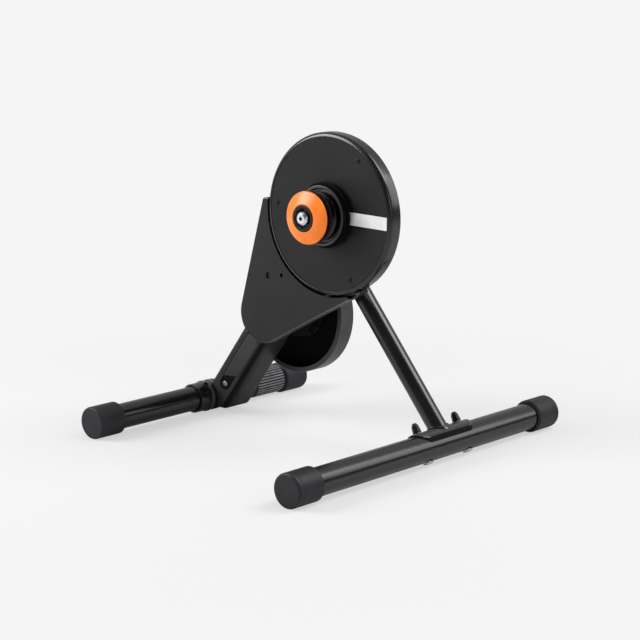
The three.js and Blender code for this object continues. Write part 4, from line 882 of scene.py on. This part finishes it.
nutRadius, nutTop, nutSeat, nutShoulder = foot["nut"]
nutStock = roundBar("nutStock", nutRadius, (0, nutSeat, 0), (0, nutShoulder, 0), sides=6, endRadius=nutTop)
activate(nutStock)
bpy.ops.object.mode_set(mode="EDIT")
pick(nutStock, "faces", looksBack)
for rise, factor in foot["dome"]:
    bpy.ops.mesh.extrude_region_move(TRANSFORM_OT_translate={"value": (0, rise * mm, 0)})
    bpy.ops.transform.resize(value=(factor, 1, factor), center_override=(0, 0, 0))
bpy.ops.object.mode_set(mode="OBJECT")
closeMesh(nutStock)
softenEdges(nutStock, foot["nutEdge"])
boltStock = turnPiece("boltStock", foot["bolt"], sides=40, edge=0.15, segments=2)
for side, y in foot["bolts"].items():
    nut = standOnRay(copyPiece(nutStock, "footNut" + side), frontBar, foot["angle"], y)
    fitPiece(nut, "blackOxide", "foot_nut_" + side.lower())
    bolt = standOnRay(copyPiece(boltStock, "footBolt" + side), frontBar, foot["angle"], y)
    fitPiece(bolt, "platedSteel", "foot_bolt_" + side.lower())
discard(nutStock)
discard(boltStock)

# strut: leans from the saddle up to the arm, its foot shaped to the saddle inside a weld bead
strutSize = {
    "radius": 14, "edge": 0.3, "ahead": 6.3, "aim": 53.3, "seat": 23.6, "bead": 16.8, "beadReach": 26.4,
    "beadShare": 0.3, "beadEdge": 1.2, "armGap": 0.35, "leanGap": 0.4, "sideGap": 0.3,
}
aimX, aimZ = polar(strutSize["aim"], beam["angle"] + armLean)
strutTop = Vector((axle[0] - aimX, foot["middle"], axle[1] - aimZ))
strutFoot = Vector((frontBar[0] + strutSize["ahead"], foot["middle"], frontBar[1]))
strut = roundBar("strutTube", strutSize["radius"], strutFoot, strutTop, sides=96)
beadTop = strutFoot.lerp(strutTop, strutSize["beadShare"])
bead = roundBar("bead", strutSize["bead"], strutFoot, beadTop, sides=96)
before, after = foot["middle"] - foot["half"], foot["middle"] + foot["half"]
carve(bead, drill(strutSize["beadReach"], before, after, frontBar, sides=192), operation="INTERSECT")
carve(bead, drill(strutSize["seat"], before, after, frontBar, sides=192))
softenEdges(bead, strutSize["beadEdge"], segments=4, angle=50)
carve(strut, drill(strutSize["seat"], before, after, frontBar, sides=192))
clear = arm["half"] + strutSize["armGap"]
leanClear = armAside + strutSize["leanGap"]
carve(strut, cutPlate("cutter", [
    beamSpot(beam["top"], beam["middle"] - clear), beamSpot(axleAlong + past, axleAcross - leanClear),
    beamSpot(axleAlong + past, axleAcross + leanClear), beamSpot(beam["top"], beam["middle"] + clear),
], beam["front"] - strutSize["sideGap"], arm["back"] + strutSize["sideGap"]))
softenEdges(strut, strutSize["edge"], segments=2, angle=40)
activate(strut)
bead.select_set(True)
bpy.ops.object.join()
fitPiece(strut, "glossPowderCoat", "strut_tube")
print("front bar and strut made")

# carried over as they are: pieces inside or at the back, given their own finishes
kept = {
    "drive_belt": "beltRubber", "drive_pulley": "machinedAluminium", "hub_bearing": "platedSteel",
    "small_pulley": "blackOxide", "idler_roller": "blackOxide", "idler_roller_bolt": "blackOxide",
    "idler_arm": "blackOxide", "idler_pivot_bolt": "blackOxide", "axle": "turnedSteel",
    "drive_cog": "platedSteel", "flywheel_shaft": "platedSteel",
    "shaft_bearing_near": "platedSteel", "shaft_bearing_far": "platedSteel",
    "cover_screw_1": "blackOxide", "cover_screw_2": "blackOxide", "power_jack": "mouldedAbs",
}
for node, look in kept.items():
    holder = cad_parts[node]
    holder.data.materials.clear()
    holder.data.materials.append(finish[look])
print("carried over pieces dressed")

# studio: pale paper floor that keeps the shadow near the trainer and fades into the pale background
studio = {
    "background": "#F5F5F5", "paper": "#D7D7D7", "floorSize": 14, "glowNear": 0.6, "fadeFrom": 0.45,
    "fadeTo": 0.95, "sky": 0.42, "darkSide": 0.06, "litSide": 0.62, "behind": (-0.85, 0.45, 0.3),
    "turnsLight": (-0.25, 0.3), "lampsAim": (0, 0, 0.2),
}
bpy.ops.object.select_all(action="DESELECT")
bpy.ops.mesh.primitive_plane_add(size=studio["floorSize"], location=(0, 0, 0))
floor = rename(bpy.context.active_object, "floor")
floorMaterial = bpy.data.materials.new("studioPaper")
floorMaterial.use_nodes = True
tree = floorMaterial.node_tree
tree.nodes.clear()
place = addNode(tree, "ShaderNodeTexCoord").outputs["Object"]
reach = addNode(tree, "ShaderNodeVectorMath", {0: place}, operation="LENGTH")
glowShare = addNode(tree, "ShaderNodeMapRange", {
    "Value": reach.outputs["Value"], "From Min": studio["fadeFrom"], "From Max": studio["fadeTo"],
    "To Min": studio["glowNear"], "To Max": 1.0,
}, interpolation_type="SMOOTHSTEP")
rays = addNode(tree, "ShaderNodeLightPath")
share = addNode(tree, "ShaderNodeMath", {
    0: rays.outputs["Is Camera Ray"], 1: glowShare.outputs["Result"],
}, operation="MULTIPLY")
paper = addNode(tree, "ShaderNodeBsdfDiffuse", {"Color": linear(studio["paper"])})
glow = addNode(tree, "ShaderNodeEmission", {"Color": linear(studio["background"]), "Strength": 1.0})
mixed = addNode(tree, "ShaderNodeMixShader", {
    0: share.outputs["Value"], 1: paper.outputs["BSDF"], 2: glow.outputs["Emission"],
})
addNode(tree, "ShaderNodeOutputMaterial", {"Surface": mixed.outputs["Shader"]})
floor.data.materials.append(floorMaterial)

# the surround is lit paper behind the trainer, and darker on the side where the photographer stands
world = bpy.data.worlds.new("studioSurround")
bpy.context.scene.world = world
world.use_nodes = True
tree = world.node_tree
tree.nodes.clear()
way = addNode(tree, "ShaderNodeTexCoord").outputs["Generated"]
facing = addNode(tree, "ShaderNodeVectorMath", {0: way, 1: studio["behind"]}, operation="DOT_PRODUCT")
litFrom, litTo = studio["turnsLight"]
lit = addNode(tree, "ShaderNodeMapRange", {
    "Value": facing.outputs["Value"], "From Min": litFrom, "From Max": litTo,
    "To Min": studio["darkSide"], "To Max": studio["litSide"],
}, interpolation_type="SMOOTHSTEP")
rays = addNode(tree, "ShaderNodeLightPath")
seen = addNode(tree, "ShaderNodeMath", {
    0: rays.outputs["Is Glossy Ray"], 1: rays.outputs["Is Transmission Ray"],
}, operation="MAXIMUM")
even = addNode(tree, "ShaderNodeBackground", {"Color": linear("#FFFFFF"), "Strength": studio["sky"]})
mirrored = addNode(tree, "ShaderNodeBackground", {
    "Color": linear(studio["background"]), "Strength": lit.outputs["Result"],
})
plain = addNode(tree, "ShaderNodeBackground", {"Color": linear(studio["background"]), "Strength": 1.0})
lightMix = addNode(tree, "ShaderNodeMixShader", {
    0: seen.outputs["Value"], 1: even.outputs["Background"], 2: mirrored.outputs["Background"],
})
both = addNode(tree, "ShaderNodeMixShader", {
    0: rays.outputs["Is Camera Ray"], 1: lightMix.outputs["Shader"], 2: plain.outputs["Background"],
})
addNode(tree, "ShaderNodeOutputWorld", {"Surface": both.outputs["Shader"]})

# softboxes: name, place in metres, size in metres, power in watts
lamps = [
    ("keyLamp", (1.28, 1.0, 2.15), (1.3, 1.3), 40),
    ("frontLamp", (-1.55, -1.6, 1.45), (1.4, 1.4), 60),
    ("sideLamp", (2.6, -0.5, 1.0), (0.8, 1.2), 8),
    ("backLamp", (1.43, 1.75, 1.15), (0.7, 1.2), 8),
]
for name, place, size, power in lamps:
    data = bpy.data.lights.new(name, "AREA")
    data.shape = "RECTANGLE"
    data.size, data.size_y = size
    data.energy = power
    lamp = bpy.data.objects.new(name, data)
    lamp.location = place
    lamp.rotation_euler = (Vector(studio["lampsAim"]) - Vector(place)).to_track_quat("-Z", "Y").to_euler()
    bpy.context.scene.collection.objects.link(lamp)

# the camera stands where the photo was taken from: lens in mm, place in metres, turn in degrees
photo = {"lens": 107.43, "sensor": 36, "place": (1.86135, -2.03851, 0.73520), "turn": (78.586, 0, 42.003)}
cameraData = bpy.data.cameras.new("photoCamera")
cameraData.sensor_width = photo["sensor"]
cameraData.lens = photo["lens"]
camera = bpy.data.objects.new("photoCamera", cameraData)
camera.location = photo["place"]
camera.rotation_euler = [math.radians(angle) for angle in photo["turn"]]
bpy.context.scene.collection.objects.link(camera)
bpy.context.scene.camera = camera
bpy.context.scene.view_settings.view_transform = "Standard"
print("studio set")
